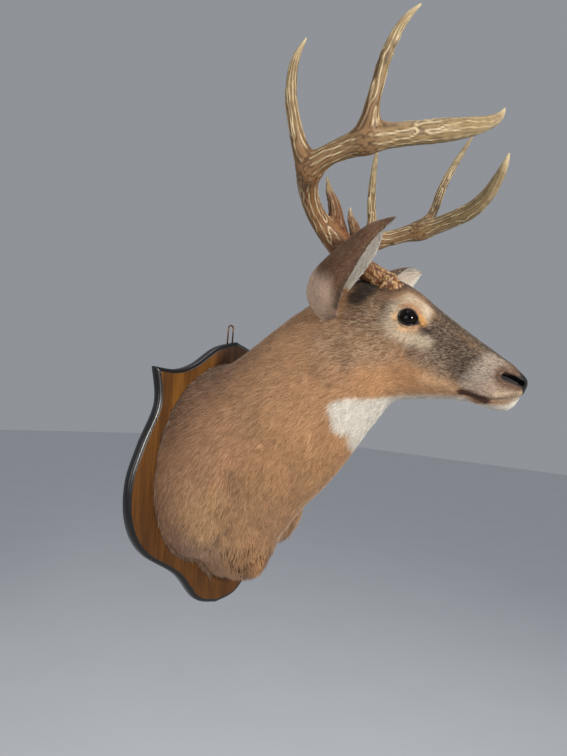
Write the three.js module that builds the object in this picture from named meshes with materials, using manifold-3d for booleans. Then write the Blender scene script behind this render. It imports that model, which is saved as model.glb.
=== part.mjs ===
// Deer shoulder mount: a white-tailed buck's head, neck and shoulders on a shaped wooden plaque.
// Millimetres, +Z up.  The origin is the middle of the plaque's back face, which lies in the plane
// Y = 0 against the wall.  The animal stands out towards -Y and turns its head to its own left, +X.
import * as THREE from 'three';
import { mergeVertices } from 'three/addons/utils/BufferGeometryUtils.js';
import Module from 'manifold-3d';

const wasm = await Module();
wasm.setup();

// ---------- driving dimensions ----------
const GAP = 0.3; // clear space kept between two pieces that touch

const PLAQUE_THICKNESS = 18;
const PLAQUE_TOP = 258; // crest above the middle
const PLAQUE_BOTTOM = -263;
const PLAQUE_HALF_WIDTH = 219;
const PLAQUE_CORNER = [185.6, 190]; // the pointed ear of the outline
const PLAQUE_EDGE = [[0, 0], [11, 0], [15, 2], [PLAQUE_THICKNESS, 7]]; // depth from the back, inset

const HANGER_WIRE = 3; // diameter
const HANGER_LOOP = 6.5; // radius of the loop's middle line
const HANGER_RISE = 26; // straight leg above the crest
const HANGER_DEPTH = 8; // how far in front of the wall the wire stands
const HANGER_OUT = -14; // it sits a little to the animal's right of the middle

const TURN_START = 110; // where the neck starts to bend to the side
const TURN_ANGLE = THREE.MathUtils.degToRad(21);
const TURN_TANGENT = 100; // tangent length of the bend
const TURN_RADIUS = TURN_TANGENT / Math.tan(TURN_ANGLE / 2);
const TURN_LENGTH = TURN_RADIUS * TURN_ANGLE;

const BODY_SIDES = 32; // facets round the neck and head
const BODY_STEPS = 10; // rings along the shoulders, and along the neck
const HEAD_STEPS = 27;
const EYE_RADIUS = 16;
const EYE_CENTRE = [394, 47, 290]; // ahead of the wall, out from the middle plane, height

const ANTLER_SIDES = 10;
const BEAM_STEPS = [13, 7, 10]; // rings along each length of the beam
const BEAM_PARTING = 0.0008; // the share of the beam left off at each side of a cut
const BURR_STEPS = 5;
const BROW_STEPS = 8;
const TINE_STEPS = 10;

const COLOURS = {
  coat: '#a9845f',
  ear: '#6b4c3a',
  eye: '#120d0a',
  antler: '#a9824f',
  wood: '#7a5230',
  wire: '#3a332c',
};

// ---------- the bend to the left ----------
// A point is given as [ahead, out, height]: the distance ahead of the wall along the middle line,
// the distance out to the animal's left, and the height.
function bend([ahead, out, height]) {
  const turned = THREE.MathUtils.clamp(ahead - TURN_START, 0, TURN_LENGTH) / TURN_RADIUS;
  const before = Math.min(ahead, TURN_START);
  const after = Math.max(ahead - TURN_START - TURN_LENGTH, 0);
  const middleX = TURN_RADIUS * (1 - Math.cos(turned)) + after * Math.sin(turned);
  const middleY = before + TURN_RADIUS * Math.sin(turned) + after * Math.cos(turned);
  return new THREE.Vector3(
    middleX + out * Math.cos(turned),
    -middleY + out * Math.sin(turned),
    height,
  );
}

// The head itself is rigid: its ears, eyes and antlers stand in its own straight frame.
function onHead([ahead, out, height]) {
  const end = bend([TURN_START + TURN_LENGTH, 0, height]);
  const beyond = ahead - TURN_START - TURN_LENGTH;
  end.x += beyond * Math.sin(TURN_ANGLE) + out * Math.cos(TURN_ANGLE);
  end.y += -beyond * Math.cos(TURN_ANGLE) + out * Math.sin(TURN_ANGLE);
  return end;
}

// ---------- closed bodies ----------
// Joins rings of equal length into one closed body; a fan closes each end.
function loft(rings) {
  const sides = rings[0].length;
  const positions = rings.flat().flatMap((p) => [p.x, p.y, p.z]);
  const faces = [];
  for (let r = 0; r < rings.length - 1; r += 1) {
    for (let i = 0; i < sides; i += 1) {
      const a = r * sides + i;
      const b = r * sides + ((i + 1) % sides);
      faces.push(a, b, b + sides, a, b + sides, a + sides);
    }
  }
  [rings[0], rings.at(-1)].forEach((ring, end) => {
    const middle = ring.reduce((sum, p) => sum.add(p), new THREE.Vector3()).divideScalar(sides);
    const hub = positions.length / 3;
    const first = end === 0 ? 0 : (rings.length - 1) * sides;
    positions.push(middle.x, middle.y, middle.z);
    for (let i = 0; i < sides; i += 1) {
      const a = first + i;
      const b = first + ((i + 1) % sides);
      faces.push(...(end === 0 ? [hub, b, a] : [hub, a, b]));
    }
  });
  const geometry = new THREE.BufferGeometry();
  geometry.setAttribute('position', new THREE.Float32BufferAttribute(positions, 3));
  geometry.setIndex(faces);
  return outward(geometry);
}

// Turns every face over where the body's signed volume says that they point inwards.
function outward(geometry) {
  const p = geometry.attributes.position;
  const index = geometry.index.array;
  const [a, b, c] = [new THREE.Vector3(), new THREE.Vector3(), new THREE.Vector3()];
  let volume = 0;
  for (let i = 0; i < index.length; i += 3) {
    a.fromBufferAttribute(p, index[i]);
    b.fromBufferAttribute(p, index[i + 1]);
    c.fromBufferAttribute(p, index[i + 2]);
    volume += a.dot(b.cross(c));
  }
  if (volume < 0) {
    for (let i = 0; i < index.length; i += 3) {
      [index[i + 1], index[i + 2]] = [index[i + 2], index[i + 1]];
    }
  }
  return geometry;
}

function toSolid(geometry) {
  const bare = geometry.clone();
  bare.deleteAttribute('normal');
  bare.deleteAttribute('uv');
  const merged = mergeVertices(bare, 1e-4);
  return new wasm.Manifold(new wasm.Mesh({
    numProp: 3,
    vertProperties: new Float32Array(merged.attributes.position.array),
    triVerts: new Uint32Array(merged.index.array),
  }));
}

function toGeometry(solid) {
  const mesh = solid.getMesh();
  const geometry = new THREE.BufferGeometry();
  geometry.setAttribute('position', new THREE.BufferAttribute(new Float32Array(mesh.vertProperties), 3));
  geometry.setIndex(new THREE.BufferAttribute(new Uint32Array(mesh.triVerts), 1));
  return geometry;
}

// Takes each of the other bodies away from the first.
function cut(geometry, ...others) {
  return toGeometry(others.reduce((solid, other) => solid.subtract(toSolid(other)), toSolid(geometry)));
}

// A smooth curve through the rows of a short table, read at t from 0 to 1.
function readTable(rows, t) {
  const x = t * (rows.length - 1);
  const i = Math.min(Math.floor(x), rows.length - 2);
  const u = x - i;
  const at = (k) => rows[THREE.MathUtils.clamp(k, 0, rows.length - 1)];
  return rows[0].map((_, c) => {
    const [p0, p1, p2, p3] = [at(i - 1)[c], at(i)[c], at(i + 1)[c], at(i + 2)[c]];
    const m1 = (p2 - p0) / 2;
    const m2 = (p3 - p1) / 2;
    const d = p2 - p1;
    return p1 + u * (m1 + u * (3 * d - 2 * m1 - m2 + u * (m1 + m2 - 2 * d)));
  });
}

// ---------- head, neck and shoulders ----------
// Each row is one outline round the body:
// [ahead and height of its top, ahead and height of its bottom, half width,
//  level of the widest place from 0 at the bottom to 1 at the top, squareness above it, below it].
// Squareness 1 is an ellipse, less is boxier and more is more pointed.
const SHOULDER_ROWS = [
  [PLAQUE_THICKNESS + GAP, 213, PLAQUE_THICKNESS + GAP, -208, 170, 0.46, 0.95, 1.02],
  [58, 222, 87, -198, 160, 0.44, 1.0, 1.12],
  [98, 244, 129, -174, 140, 0.44, 1.0, 1.36],
  [132, 268, 165, -112, 120, 0.46, 1.0, 1.3],
];
const NECK_ROWS = [
  [132, 268, 165, -112, 120, 0.46, 1.0, 1.3],
  [162, 290, 213, -46, 104, 0.48, 1.0, 1.1],
  [188, 309, 250, -8, 91, 0.5, 1.0, 1.05],
  [213, 325, 289, 42, 79, 0.52, 1.0, 1.05],
  [240, 341, 328, 104, 70, 0.54, 0.95, 1.05],
];
const HEAD_ROWS = [
  [240, 341, 328, 104, 70, 0.54, 0.95, 1.05],
  [278, 357, 342, 124, 66, 0.58, 0.92, 1.05],
  [314, 367, 354, 142, 62, 0.62, 0.88, 1.05],
  [346, 367, 366, 155, 60, 0.64, 0.85, 1.05],
  [378, 355, 384, 162, 60, 0.66, 0.8, 1.1],
  [406, 338, 404, 164, 57, 0.66, 0.8, 1.1],
  [432, 316, 428, 166, 50, 0.6, 0.85, 1.05],
  [462, 293, 458, 167, 42, 0.54, 0.9, 1.0],
  [494, 269, 490, 164, 36, 0.5, 0.9, 0.95],
  [522, 249, 518, 156, 32, 0.48, 0.85, 0.9],
  [546, 231, 544, 155, 28, 0.5, 0.85, 0.85],
  [562, 218, 560, 168, 24, 0.56, 0.85, 0.85],
  [571, 209, 569, 186, 17, 0.55, 0.9, 0.9],
  [574, 203, 573, 195, 6, 0.5, 1.0, 1.0],
];

// The chest between the shoulders: the points of the shoulders stand forward either side of the
// brisket, with a hollow between, and underneath a notch parts each shoulder from the brisket.
const CHEST = { height: -92, tall: 52, shoulderOut: 108, shoulderWide: 34, shoulderReach: 15,
  hollowOut: 62, hollowWide: 26, hollowDepth: 15, brisketReach: 0,
  notchOut: 72, notchWide: 22, notchRise: 23, notchStart: 105, notchFull: 160 };

function chestShape([ahead, out, height]) {
  const bell = (x, width) => Math.exp(-((x / width) ** 2));
  const level = bell(height - CHEST.height, CHEST.tall);
  const front = THREE.MathUtils.smoothstep(ahead, 30, 110);
  const shoulder = CHEST.shoulderReach * bell(Math.abs(out) - CHEST.shoulderOut, CHEST.shoulderWide);
  const hollow = CHEST.hollowDepth * bell(Math.abs(out) - CHEST.hollowOut, CHEST.hollowWide);
  const brisket = CHEST.brisketReach * bell(out, CHEST.hollowWide);
  const notch = CHEST.notchRise * bell(Math.abs(out) - CHEST.notchOut, CHEST.notchWide)
    * THREE.MathUtils.smoothstep(-height, CHEST.notchStart, CHEST.notchFull);
  return [ahead + level * front * (shoulder - hollow + brisket), out, height + notch];
}

// One outline, as points round the body; swell pushes the whole outline outwards.
function bodyRing(row, swell = 0) {
  const [topAhead, topHeight, bottomAhead, bottomHeight, halfWidth, widest, above, below] = row;
  const length = Math.hypot(topAhead - bottomAhead, topHeight - bottomHeight);
  const points = [];
  for (let i = 0; i < BODY_SIDES; i += 1) {
    const angle = (2 * Math.PI * i) / BODY_SIDES;
    const up = Math.cos(angle);
    const side = Math.sin(angle);
    const power = up > 0 ? above : below;
    const reach = up > 0 ? 1 - widest : widest;
    const rise = Math.sign(up) * Math.abs(up) ** power * (reach + swell / length);
    const level = widest + rise;
    const out = Math.sign(side) * Math.abs(side) ** power * (halfWidth + swell);
    points.push(bend(chestShape([
      THREE.MathUtils.lerp(bottomAhead, topAhead, level),
      out,
      THREE.MathUtils.lerp(bottomHeight, topHeight, level),
    ])));
  }
  return points;
}

// A length of the body through a table's rows, from start to end as shares of the table.
function bodyLength(rows, steps, { swell = 0, start = 0, end = 1 } = {}) {
  const rings = [];
  for (let i = 0; i <= steps; i += 1) {
    rings.push(bodyRing(readTable(rows, start + ((end - start) * i) / steps), swell));
  }
  return loft(rings);
}

const PARTING = 0.0035; // the share of a length that is left off where it meets the one before
const shoulders = bodyLength(SHOULDER_ROWS, BODY_STEPS);
const neck = bodyLength(NECK_ROWS, BODY_STEPS, { start: PARTING });

function eyeball(side, swell = 0) {
  const ball = new THREE.SphereGeometry(EYE_RADIUS + swell, 14, 9);
  const [ahead, out, height] = EYE_CENTRE;
  const place = onHead([ahead, side * out, height]);
  return ball.translate(place.x, place.y, place.z);
}

// The head, with a pocket for each eye.
const headBlock = bodyLength(HEAD_ROWS, HEAD_STEPS, { start: PARTING });
const head = cut(headBlock, eyeball(-1, GAP), eyeball(1, GAP));

// ---------- ears ----------
// An ear is a leaf rolled into a cup.  A row holds a place on the ear's middle line as ahead, out
// and height, then the radius of the roll, how many degrees it runs round from the back of the ear
// to its outer edge and to its inner edge, and its thickness.
const EAR_ROWS = [
  [238, 46, 312, 22, 172, 172, 9],
  [242, 68, 326, 34, 152, 160, 8],
  [260, 94, 342, 43, 116, 128, 6.5],
  [293, 118, 359, 48, 82, 110, 5],
  [324, 134, 380, 44, 66, 98, 4],
  [350, 147, 398, 32, 54, 78, 3.5],
  [367, 153, 409, 16, 48, 56, 3],
  [375, 157, 415, 4, 50, 50, 2],
];
const EAR_OPENING = [0.85, -0.4, -0.35]; // the way the cup faces: ahead, out, height
const EAR_TIP_AHEAD = { right: 14, left: -6 }; // the right ear is pricked a little further forward
const EAR_RINGS = 11;
const EAR_ARC_STEPS = 7;
const EAR_SEAT = 0.6; // how far the roll's centre stands ahead of the middle line, in radii

// A direction in the head's frame.
function headDirection([ahead, out, height]) {
  return onHead([ahead, out, height]).sub(onHead([0, 0, 0]));
}

function ear(side, tipAhead) {
  const place = ([ahead, out, height], t) => onHead([ahead + tipAhead * t * t, side * out, height]);
  const along = place(EAR_ROWS.at(-1), 1).sub(place(EAR_ROWS[1], 0)).normalize();
  const [openAhead, openOut, openHeight] = EAR_OPENING;
  const open = headDirection([openAhead, side * openOut, openHeight]);
  open.addScaledVector(along, -open.dot(along)).normalize();
  const outwards = along.clone().cross(open).multiplyScalar(side);
  const rings = [];
  for (let k = 0; k <= EAR_RINGS; k += 1) {
    const row = readTable(EAR_ROWS, k / EAR_RINGS);
    const [, , , radius, outerAngle, innerAngle, thickness] = row;
    const middle = place(row, k / EAR_RINGS).addScaledVector(open, EAR_SEAT * radius);
    const arc = (r) => Array.from({ length: EAR_ARC_STEPS + 1 }, (_, i) => {
      const degrees = THREE.MathUtils.lerp(-innerAngle, outerAngle, i / EAR_ARC_STEPS);
      const angle = THREE.MathUtils.degToRad(degrees);
      return middle.clone()
        .addScaledVector(open, -r * Math.cos(angle))
        .addScaledVector(outwards, r * Math.sin(angle));
    });
    rings.push([...arc(radius + thickness / 2), ...arc(radius - thickness / 2).reverse()]);
  }
  return loft(rings);
}

// ---------- antlers ----------
// A row is [ahead, out, height, radius].
const BURR_ROWS = [
  [370, 34, 336, 16],
  [362, 34, 343, 20.5],
  [356, 34, 347.5, 21],
  [350.5, 34.2, 351.5, 17.5],
];
const BEAM_ROWS = [
  [349, 34.3, 352.5, 17],
  [332, 36, 363, 16.5],
  [302, 41, 383, 17.5],
  [269, 56, 413, 17],
  [246, 88, 444, 15],
  [244, 132, 468, 14.5],
  [259, 174, 486, 16],
  [290, 195, 497, 14.5],
  [330, 201, 508, 15],
  [364, 200, 515, 16.5],
  [400, 188, 521, 15.5],
  [450, 163, 532, 15.5],
  [482, 134, 547, 13],
  [504, 102, 567, 9.5],
  [515, 84, 583, 6],
  [521, 76, 598, 1.5],
];
const BEAM_CUTS = [0, 0.46, 0.66, 1]; // where the beam is parted, past its two forks
const BROW_ROWS = [
  [276, 55, 410, 12],
  [269, 57, 442, 11.5],
  [260, 59, 477, 9.5],
  [250, 61, 502, 6],
  [246, 66, 525, 1.2],
];
const TINE_2_ROWS = [
  [262, 182, 484, 12],
  [252, 197, 513, 11.5],
  [247, 212, 540, 9.5],
  [241, 219, 575, 8.7],
  [240, 220, 615, 7.3],
  [243, 215, 646, 5],
  [250, 204, 676, 1.2],
];
const TINE_3_ROWS = [
  [352, 201, 512, 14],
  [362, 222, 538, 10.5],
  [370, 232, 562, 8.8],
  [379, 234, 600, 8.3],
  [392, 234, 634, 6.8],
  [405, 230, 658, 4.8],
  [419, 220, 679, 1.2],
];
// The two antlers differ a little, as they do in life: how far each left tine's tip moves.
const LEFT_TIPS = { tine_2: [0, 6, 40], tine_3: [26, 0, 34], brow_tine: [0, 0, -6] };

// A round branch along a table's rows; its tip can be moved, and its middle follows.
function sweep(rows, side, steps, { from = 0, to = 1, swell = 0, tip = [0, 0, 0] } = {}) {
  const at = (t) => {
    const [ahead, out, height, radius] = readTable(rows, THREE.MathUtils.clamp(t, 0, 1));
    const [tipAhead, tipOut, tipHeight] = tip.map((move) => move * t * t);
    const place = onHead([ahead + tipAhead, side * (out + tipOut), height + tipHeight]);
    return { place, radius };
  };
  const rings = [];
  const reach = 0.004; // how far each way the direction is measured, as a share of the table
  let normal = new THREE.Vector3(0.31, 0.17, 0.93); // any direction that no branch starts along
  for (let k = 0; k <= steps; k += 1) {
    const t = from + ((to - from) * k) / steps;
    const { place, radius } = at(t);
    const tangent = at(t + reach).place.sub(at(t - reach).place).normalize();
    normal = normal.addScaledVector(tangent, -normal.dot(tangent)).normalize();
    const second = tangent.clone().cross(normal);
    const ring = [];
    for (let i = 0; i < ANTLER_SIDES; i += 1) {
      const angle = (2 * Math.PI * i) / ANTLER_SIDES;
      ring.push(place.clone()
        .addScaledVector(normal, (radius + swell) * Math.cos(angle))
        .addScaledVector(second, (radius + swell) * Math.sin(angle)));
    }
    rings.push(ring);
  }
  return loft(rings);
}

// ---------- plaque and hanger ----------
const PLAQUE_HALF = [ // the right half of the outline, from the crest to the pointed corner ...
  [0, PLAQUE_TOP], [50, 241], [100, 204], [140, 189], PLAQUE_CORNER,
];
const PLAQUE_HALF_BELOW = [ // ... and from the corner down to the bottom
  PLAQUE_CORNER, [174.6, 123], [201, 49], [PLAQUE_HALF_WIDTH, -20], [212, -91], [177, -147], [101, -195],
  [50, -249], [0, PLAQUE_BOTTOM],
];

function plaqueOutline() {
  const smooth = (corners, steps) => {
    const ends = corners.map(([x, z]) => new THREE.Vector2(x, z));
    return new THREE.SplineCurve(ends).getPoints(steps);
  };
  const half = [...smooth(PLAQUE_HALF, 14).slice(0, -1), ...smooth(PLAQUE_HALF_BELOW, 34)];
  const mirrored = half.slice(1, -1).reverse().map((p) => new THREE.Vector2(-p.x, p.y));
  return [...half, ...mirrored];
}

function inset(outline, distance) {
  const count = outline.length;
  return outline.map((p, i) => {
    const before = p.clone().sub(outline[(i + count - 1) % count]).normalize();
    const after = outline[(i + 1) % count].clone().sub(p).normalize();
    const inwards = new THREE.Vector2(before.y, -before.x).add(new THREE.Vector2(after.y, -after.x));
    const square = inwards.lengthSq() / 2;
    return p.clone().addScaledVector(inwards, distance / square);
  });
}

function plaque() {
  const outline = plaqueOutline();
  const layers = PLAQUE_EDGE.map(([depth, amount]) => inset(outline, amount)
    .map((p) => new THREE.Vector3(p.x, -depth, p.y)));
  const positions = layers.flat().flatMap((p) => [p.x, p.y, p.z]);
  const count = outline.length;
  const faces = [];
  for (let k = 0; k < layers.length - 1; k += 1) {
    for (let i = 0; i < count; i += 1) {
      const a = k * count + i;
      const b = k * count + ((i + 1) % count);
      faces.push(a, b + count, b, a, a + count, b + count);
    }
  }
  const front = (layers.length - 1) * count;
  THREE.ShapeUtils.triangulateShape(outline, []).forEach(([a, b, c]) => faces.push(a, c, b));
  THREE.ShapeUtils.triangulateShape(inset(outline, PLAQUE_EDGE.at(-1)[1]), [])
    .forEach(([a, b, c]) => faces.push(front + a, front + b, front + c));
  const geometry = new THREE.BufferGeometry();
  geometry.setAttribute('position', new THREE.Float32BufferAttribute(positions, 3));
  geometry.setIndex(faces);
  return outward(geometry);
}

function hangerLoop() {
  const archSteps = 8;
  const foot = PLAQUE_TOP - HANGER_WIRE; // its ends run down into the board
  const shoulder = PLAQUE_TOP + HANGER_RISE;
  const path = new THREE.CurvePath();
  const corner = (x, z) => new THREE.Vector3(HANGER_OUT + x, -HANGER_DEPTH, z);
  path.add(new THREE.LineCurve3(corner(-HANGER_LOOP, foot), corner(-HANGER_LOOP, shoulder)));
  const arch = [];
  for (let i = 0; i <= archSteps; i += 1) {
    const angle = Math.PI - (Math.PI * i) / archSteps;
    arch.push(corner(HANGER_LOOP * Math.cos(angle), shoulder + HANGER_LOOP * Math.sin(angle)));
  }
  path.add(new THREE.CatmullRomCurve3(arch));
  path.add(new THREE.LineCurve3(corner(HANGER_LOOP, shoulder), corner(HANGER_LOOP, foot)));
  const section = new THREE.Shape().absarc(0, 0, HANGER_WIRE / 2, 0, 2 * Math.PI);
  return new THREE.ExtrudeGeometry(section, { extrudePath: path, steps: 16, curveSegments: 3 });
}

// ---------- scene ----------
const mount = new THREE.Group();

function add(name, geometry, colour, roughness, metalness = 0) {
  const material = new THREE.MeshStandardMaterial({ color: colour, roughness, metalness });
  const mesh = new THREE.Mesh(geometry, material);
  mesh.name = name;
  mount.add(mesh);
}

const board = plaque();
add('plaque_board', board, COLOURS.wood, 0.45);
add('hanger_loop', cut(hangerLoop(), plaque()), COLOURS.wire, 0.5, 0.8);
add('shoulders', shoulders, COLOURS.coat, 0.9);
add('neck', neck, COLOURS.coat, 0.9);
add('head', head, COLOURS.coat, 0.9);

// What stands on the head and neck is cut by slightly larger copies of them.
const headCutter = bodyLength(HEAD_ROWS, HEAD_STEPS, { swell: GAP });
const neckCutter = bodyLength(NECK_ROWS, BODY_STEPS, { swell: GAP, start: PARTING, end: 1 + PARTING });
[['right', -1], ['left', 1]].forEach(([name, side]) => {
  const tips = side > 0 ? LEFT_TIPS : {};
  const beamPart = (k, parting) => sweep(BEAM_ROWS, side, BEAM_STEPS[k], {
    from: BEAM_CUTS[k] + parting,
    to: BEAM_CUTS[k + 1] - parting,
    swell: parting > 0 ? 0 : GAP,
  });
  const [beamBase, beamMiddle, beamTip] = BEAM_STEPS.map((_, k) => beamPart(k, BEAM_PARTING));
  const beamCutters = BEAM_STEPS.map((_, k) => beamPart(k, 0));
  const tine = (rows, key, steps) => cut(sweep(rows, side, steps, { tip: tips[key] }), ...beamCutters);
  const burr = sweep(BURR_ROWS, side, BURR_STEPS);
  add(`ear_${name}`, cut(ear(side, EAR_TIP_AHEAD[name]), headCutter, neckCutter), COLOURS.ear, 0.9);
  add(`eye_${name}`, eyeball(side), COLOURS.eye, 0.1);
  add(`burr_${name}`, cut(burr, headCutter, beamCutters[0]), COLOURS.antler, 0.7);
  add(`beam_base_${name}`, cut(beamBase, headCutter), COLOURS.antler, 0.6);
  add(`beam_middle_${name}`, beamMiddle, COLOURS.antler, 0.6);
  add(`beam_tip_${name}`, beamTip, COLOURS.antler, 0.6);
  add(`brow_tine_${name}`, tine(BROW_ROWS, 'brow_tine', BROW_STEPS), COLOURS.antler, 0.6);
  add(`tine_2_${name}`, tine(TINE_2_ROWS, 'tine_2', TINE_STEPS), COLOURS.antler, 0.6);
  add(`tine_3_${name}`, tine(TINE_3_ROWS, 'tine_3', TINE_STEPS), COLOURS.antler, 0.6);
});

export default mount;
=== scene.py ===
# %% [markdown]
# # A white-tailed buck's shoulder mount
# A shoulder mount is a deer's skin, fitted over a form of head, neck and shoulders and fixed to a board.
# The solids of the frame give every outline and size here.  This lesson dresses them: one seamless skin,
# a coat of hair over it, glass eyes, antlers with their ridges, and a stained wooden plaque.
#
# The first line of any such script opens the fixed model.

# %% Open the fixed model
import math
import bmesh
import bpy
import numpy as np
from mathutils import Matrix, Vector
from mathutils.kdtree import KDTree


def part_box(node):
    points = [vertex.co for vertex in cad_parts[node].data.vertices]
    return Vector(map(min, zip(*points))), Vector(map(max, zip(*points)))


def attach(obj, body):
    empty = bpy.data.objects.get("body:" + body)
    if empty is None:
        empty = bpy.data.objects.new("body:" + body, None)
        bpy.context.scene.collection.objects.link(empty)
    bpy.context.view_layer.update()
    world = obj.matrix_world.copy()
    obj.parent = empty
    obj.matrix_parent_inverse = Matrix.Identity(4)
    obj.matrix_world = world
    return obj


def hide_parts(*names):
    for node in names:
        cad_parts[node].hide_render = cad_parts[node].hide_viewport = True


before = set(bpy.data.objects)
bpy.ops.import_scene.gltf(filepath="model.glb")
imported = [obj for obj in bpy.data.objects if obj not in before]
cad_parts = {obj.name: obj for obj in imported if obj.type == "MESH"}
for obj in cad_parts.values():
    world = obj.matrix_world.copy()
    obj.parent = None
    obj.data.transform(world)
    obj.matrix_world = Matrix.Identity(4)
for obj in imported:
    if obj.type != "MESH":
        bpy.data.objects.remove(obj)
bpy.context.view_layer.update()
MM = 0.001
SIDES = (("right", -1), ("left", 1))
rng = np.random.default_rng(7)

# %% [markdown]
# ## The camera
# The buck is seen from its right side and a little below, by a wide lens standing about a metre away.
# A camera can be placed with rotation angles, or with three directions: to its right, up and backwards.
# Directions are easier to work out, so they fill the columns of its matrix.

# %% Camera
def into_scene(name, data):
    """A new object with its data, linked to the scene."""
    made = bpy.data.objects.new(name, data)
    bpy.context.scene.collection.objects.link(made)
    return made


CAMERA_PLACE = Vector((-0.7412, -0.8980, 0.1381))
CAMERA_FORWARD = Vector((0.7056, 0.7071, 0.0475))
CAMERA_UP = Vector((-0.0888, 0.0217, 0.9958))
CAMERA_LENS = 27.0

camera_data = bpy.data.cameras.new("camera")
camera_data.lens = CAMERA_LENS
camera_data.clip_start = 0.01
camera = into_scene("camera", camera_data)
right = CAMERA_FORWARD.cross(CAMERA_UP).normalized()
up = right.cross(CAMERA_FORWARD).normalized()
turn = Matrix((right, up, -CAMERA_FORWARD.normalized())).transposed()
camera.matrix_world = Matrix.Translation(CAMERA_PLACE) @ turn.to_4x4()
bpy.context.scene.camera = camera
print("lens", CAMERA_LENS, "mm")

# %% [markdown]
# ## Small helpers
# Every shape below is worked out as an array of points, so a few helpers serve all of them: a soft step
# from 0 to 1, a bell-shaped weight, calls that turn points and faces into an object, and calls that read
# its points back.  Colours are written as they look on a screen, and are turned into the linear values
# that a shader works in.


# %% Helpers
def soft_step(x, low, high):
    t = np.clip((x - low) / (high - low), 0, 1)
    return t * t * (3 - 2 * t)


def bell(x, width):
    return np.exp(-((x / width) ** 2))


def unit(v):
    return v / np.maximum(np.linalg.norm(v, axis=-1, keepdims=True), 1e-12)


def tint(red, green, blue):
    screen = np.array([red, green, blue]) / 255
    return np.where(screen <= 0.04045, screen / 12.92, ((screen + 0.055) / 1.055) ** 2.4)


def mesh_object(name, points, faces):
    """A smooth-shaded object from an array of points and an array of faces of equal size."""
    mesh = bpy.data.meshes.new(name)
    corners = len(faces[0])
    mesh.vertices.add(len(points))
    mesh.vertices.foreach_set("co", np.asarray(points, np.float32).ravel())
    mesh.loops.add(len(faces) * corners)
    mesh.loops.foreach_set("vertex_index", np.asarray(faces, np.int32).ravel())
    mesh.polygons.add(len(faces))
    mesh.polygons.foreach_set("loop_start", np.arange(len(faces), dtype=np.int32) * corners)
    mesh.update(calc_edges=True)
    mesh.shade_smooth()
    return into_scene(name, mesh)


def object_of(name, shape):
    """A new object from a bmesh, which is freed."""
    mesh = bpy.data.meshes.new(name)
    shape.to_mesh(mesh)
    shape.free()
    return into_scene(name, mesh)


def read(items, what, width, kind):
    """One property of all points, edges or triangles, as an array with so many numbers each."""
    flat = np.zeros(len(items) * width, kind)
    items.foreach_get(what, flat)
    return flat.reshape(-1, width)


def points_of(piece):
    return read(piece.data.vertices, "co", 3, np.float32).astype(float)


def normals_of(piece):
    return read(piece.data.vertices, "normal", 3, np.float32).astype(float)


def move_points(piece, points):
    piece.data.vertices.foreach_set("co", points.astype(np.float32).ravel())
    piece.data.update()


def triangles_of(piece):
    piece.data.calc_loop_triangles()
    return read(piece.data.loop_triangles, "vertices", 3, np.int32)


def settle(piece):
    """Turns a piece's modifiers into plain mesh."""
    graph = bpy.context.evaluated_depsgraph_get()
    done = bpy.data.meshes.new_from_object(piece.evaluated_get(graph))
    piece.modifiers.clear()
    piece.data = done


print("white is", tint(255, 255, 255), "and a middle grey", tint(128, 128, 128).round(3))


# %% [markdown]
# ## Where things are on a turned head
# The neck bends to the buck's own left, and then the head stands straight in that new direction.  It is
# easiest to model in the deer's own terms: how far ahead of the wall along its middle line, how far out
# to the side, and how high.  One pair of functions turns those into the frame's X, Y and Z, and back.

# %% Directions on the buck
TURN_START = 110 * MM  # the neck starts to bend here
TURN_ANGLE = math.radians(21)
TURN_RADIUS = 100 * MM / math.tan(TURN_ANGLE / 2)
TURN_END = TURN_START + TURN_RADIUS * TURN_ANGLE
TURN_MIDDLE = np.array([TURN_RADIUS, -TURN_START])
HEAD_AXES = np.array([
    [math.sin(TURN_ANGLE), -math.cos(TURN_ANGLE), 0],  # ahead
    [math.cos(TURN_ANGLE), math.sin(TURN_ANGLE), 0],  # out to its left
    [0, 0, 1],
])
HEAD_START = np.array([*(TURN_MIDDLE - TURN_RADIUS * HEAD_AXES[1][:2]), 0])


def on_head(place):
    """A place (ahead, out, height) in the head's own straight frame, as X, Y, Z."""
    place = np.asarray(place, float)
    return HEAD_START + (place - [TURN_END, 0, 0]) @ HEAD_AXES


def place_on_head(points):
    """The way back: X, Y, Z as (ahead, out, height) in the head's frame."""
    return (points - HEAD_START) @ HEAD_AXES.T + [TURN_END, 0, 0]


def turned(ahead):
    """How far the bend has turned at each distance ahead."""
    return np.clip(ahead - TURN_START, 0, TURN_END - TURN_START) / TURN_RADIUS


def place_on_body(points):
    """(ahead, out, height) along the bent middle line, for points anywhere on the body."""
    x, y, z = points.T
    behind = -y - TURN_START
    angle = np.arctan2(behind, TURN_MIDDLE[0] - x)
    reach = np.hypot(behind, TURN_MIDDLE[0] - x)
    bent = np.stack([TURN_START + TURN_RADIUS * angle, TURN_RADIUS - reach, z], 1)
    straight = np.stack([-y, x, z], 1)
    place = np.where((behind < 0)[:, None], straight, bent)
    return np.where((angle > TURN_ANGLE)[:, None] & (behind > 0)[:, None], place_on_head(points), place)


def body_direction(place, ahead, out, height):
    """Turns directions along, across and up the bent body into X, Y, Z."""
    angle = turned(place[:, 0])
    x = ahead * np.sin(angle) + out * np.cos(angle)
    y = -ahead * np.cos(angle) + out * np.sin(angle)
    return np.stack([x, y, height * np.ones_like(x)], 1)


nose = on_head([0.574, 0, 0.2])
print("the nose stands at", nose.round(3), "and back again", place_on_body(nose[None])[0].round(3))

# %% [markdown]
# ## The skin, first as one body
# On the real mount one tanned skin covers the form without a seam.  The frame has it in three lengths, so
# they are swollen by a hair until they touch, joined, and rebuilt by a voxel remesh, which melts all that
# overlaps into a single closed surface.  Modelling the head by hand from a grid would also do, but then
# it would no longer be tied to the frame.  A ball fills each eye socket, so that the lids have a surface.

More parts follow.
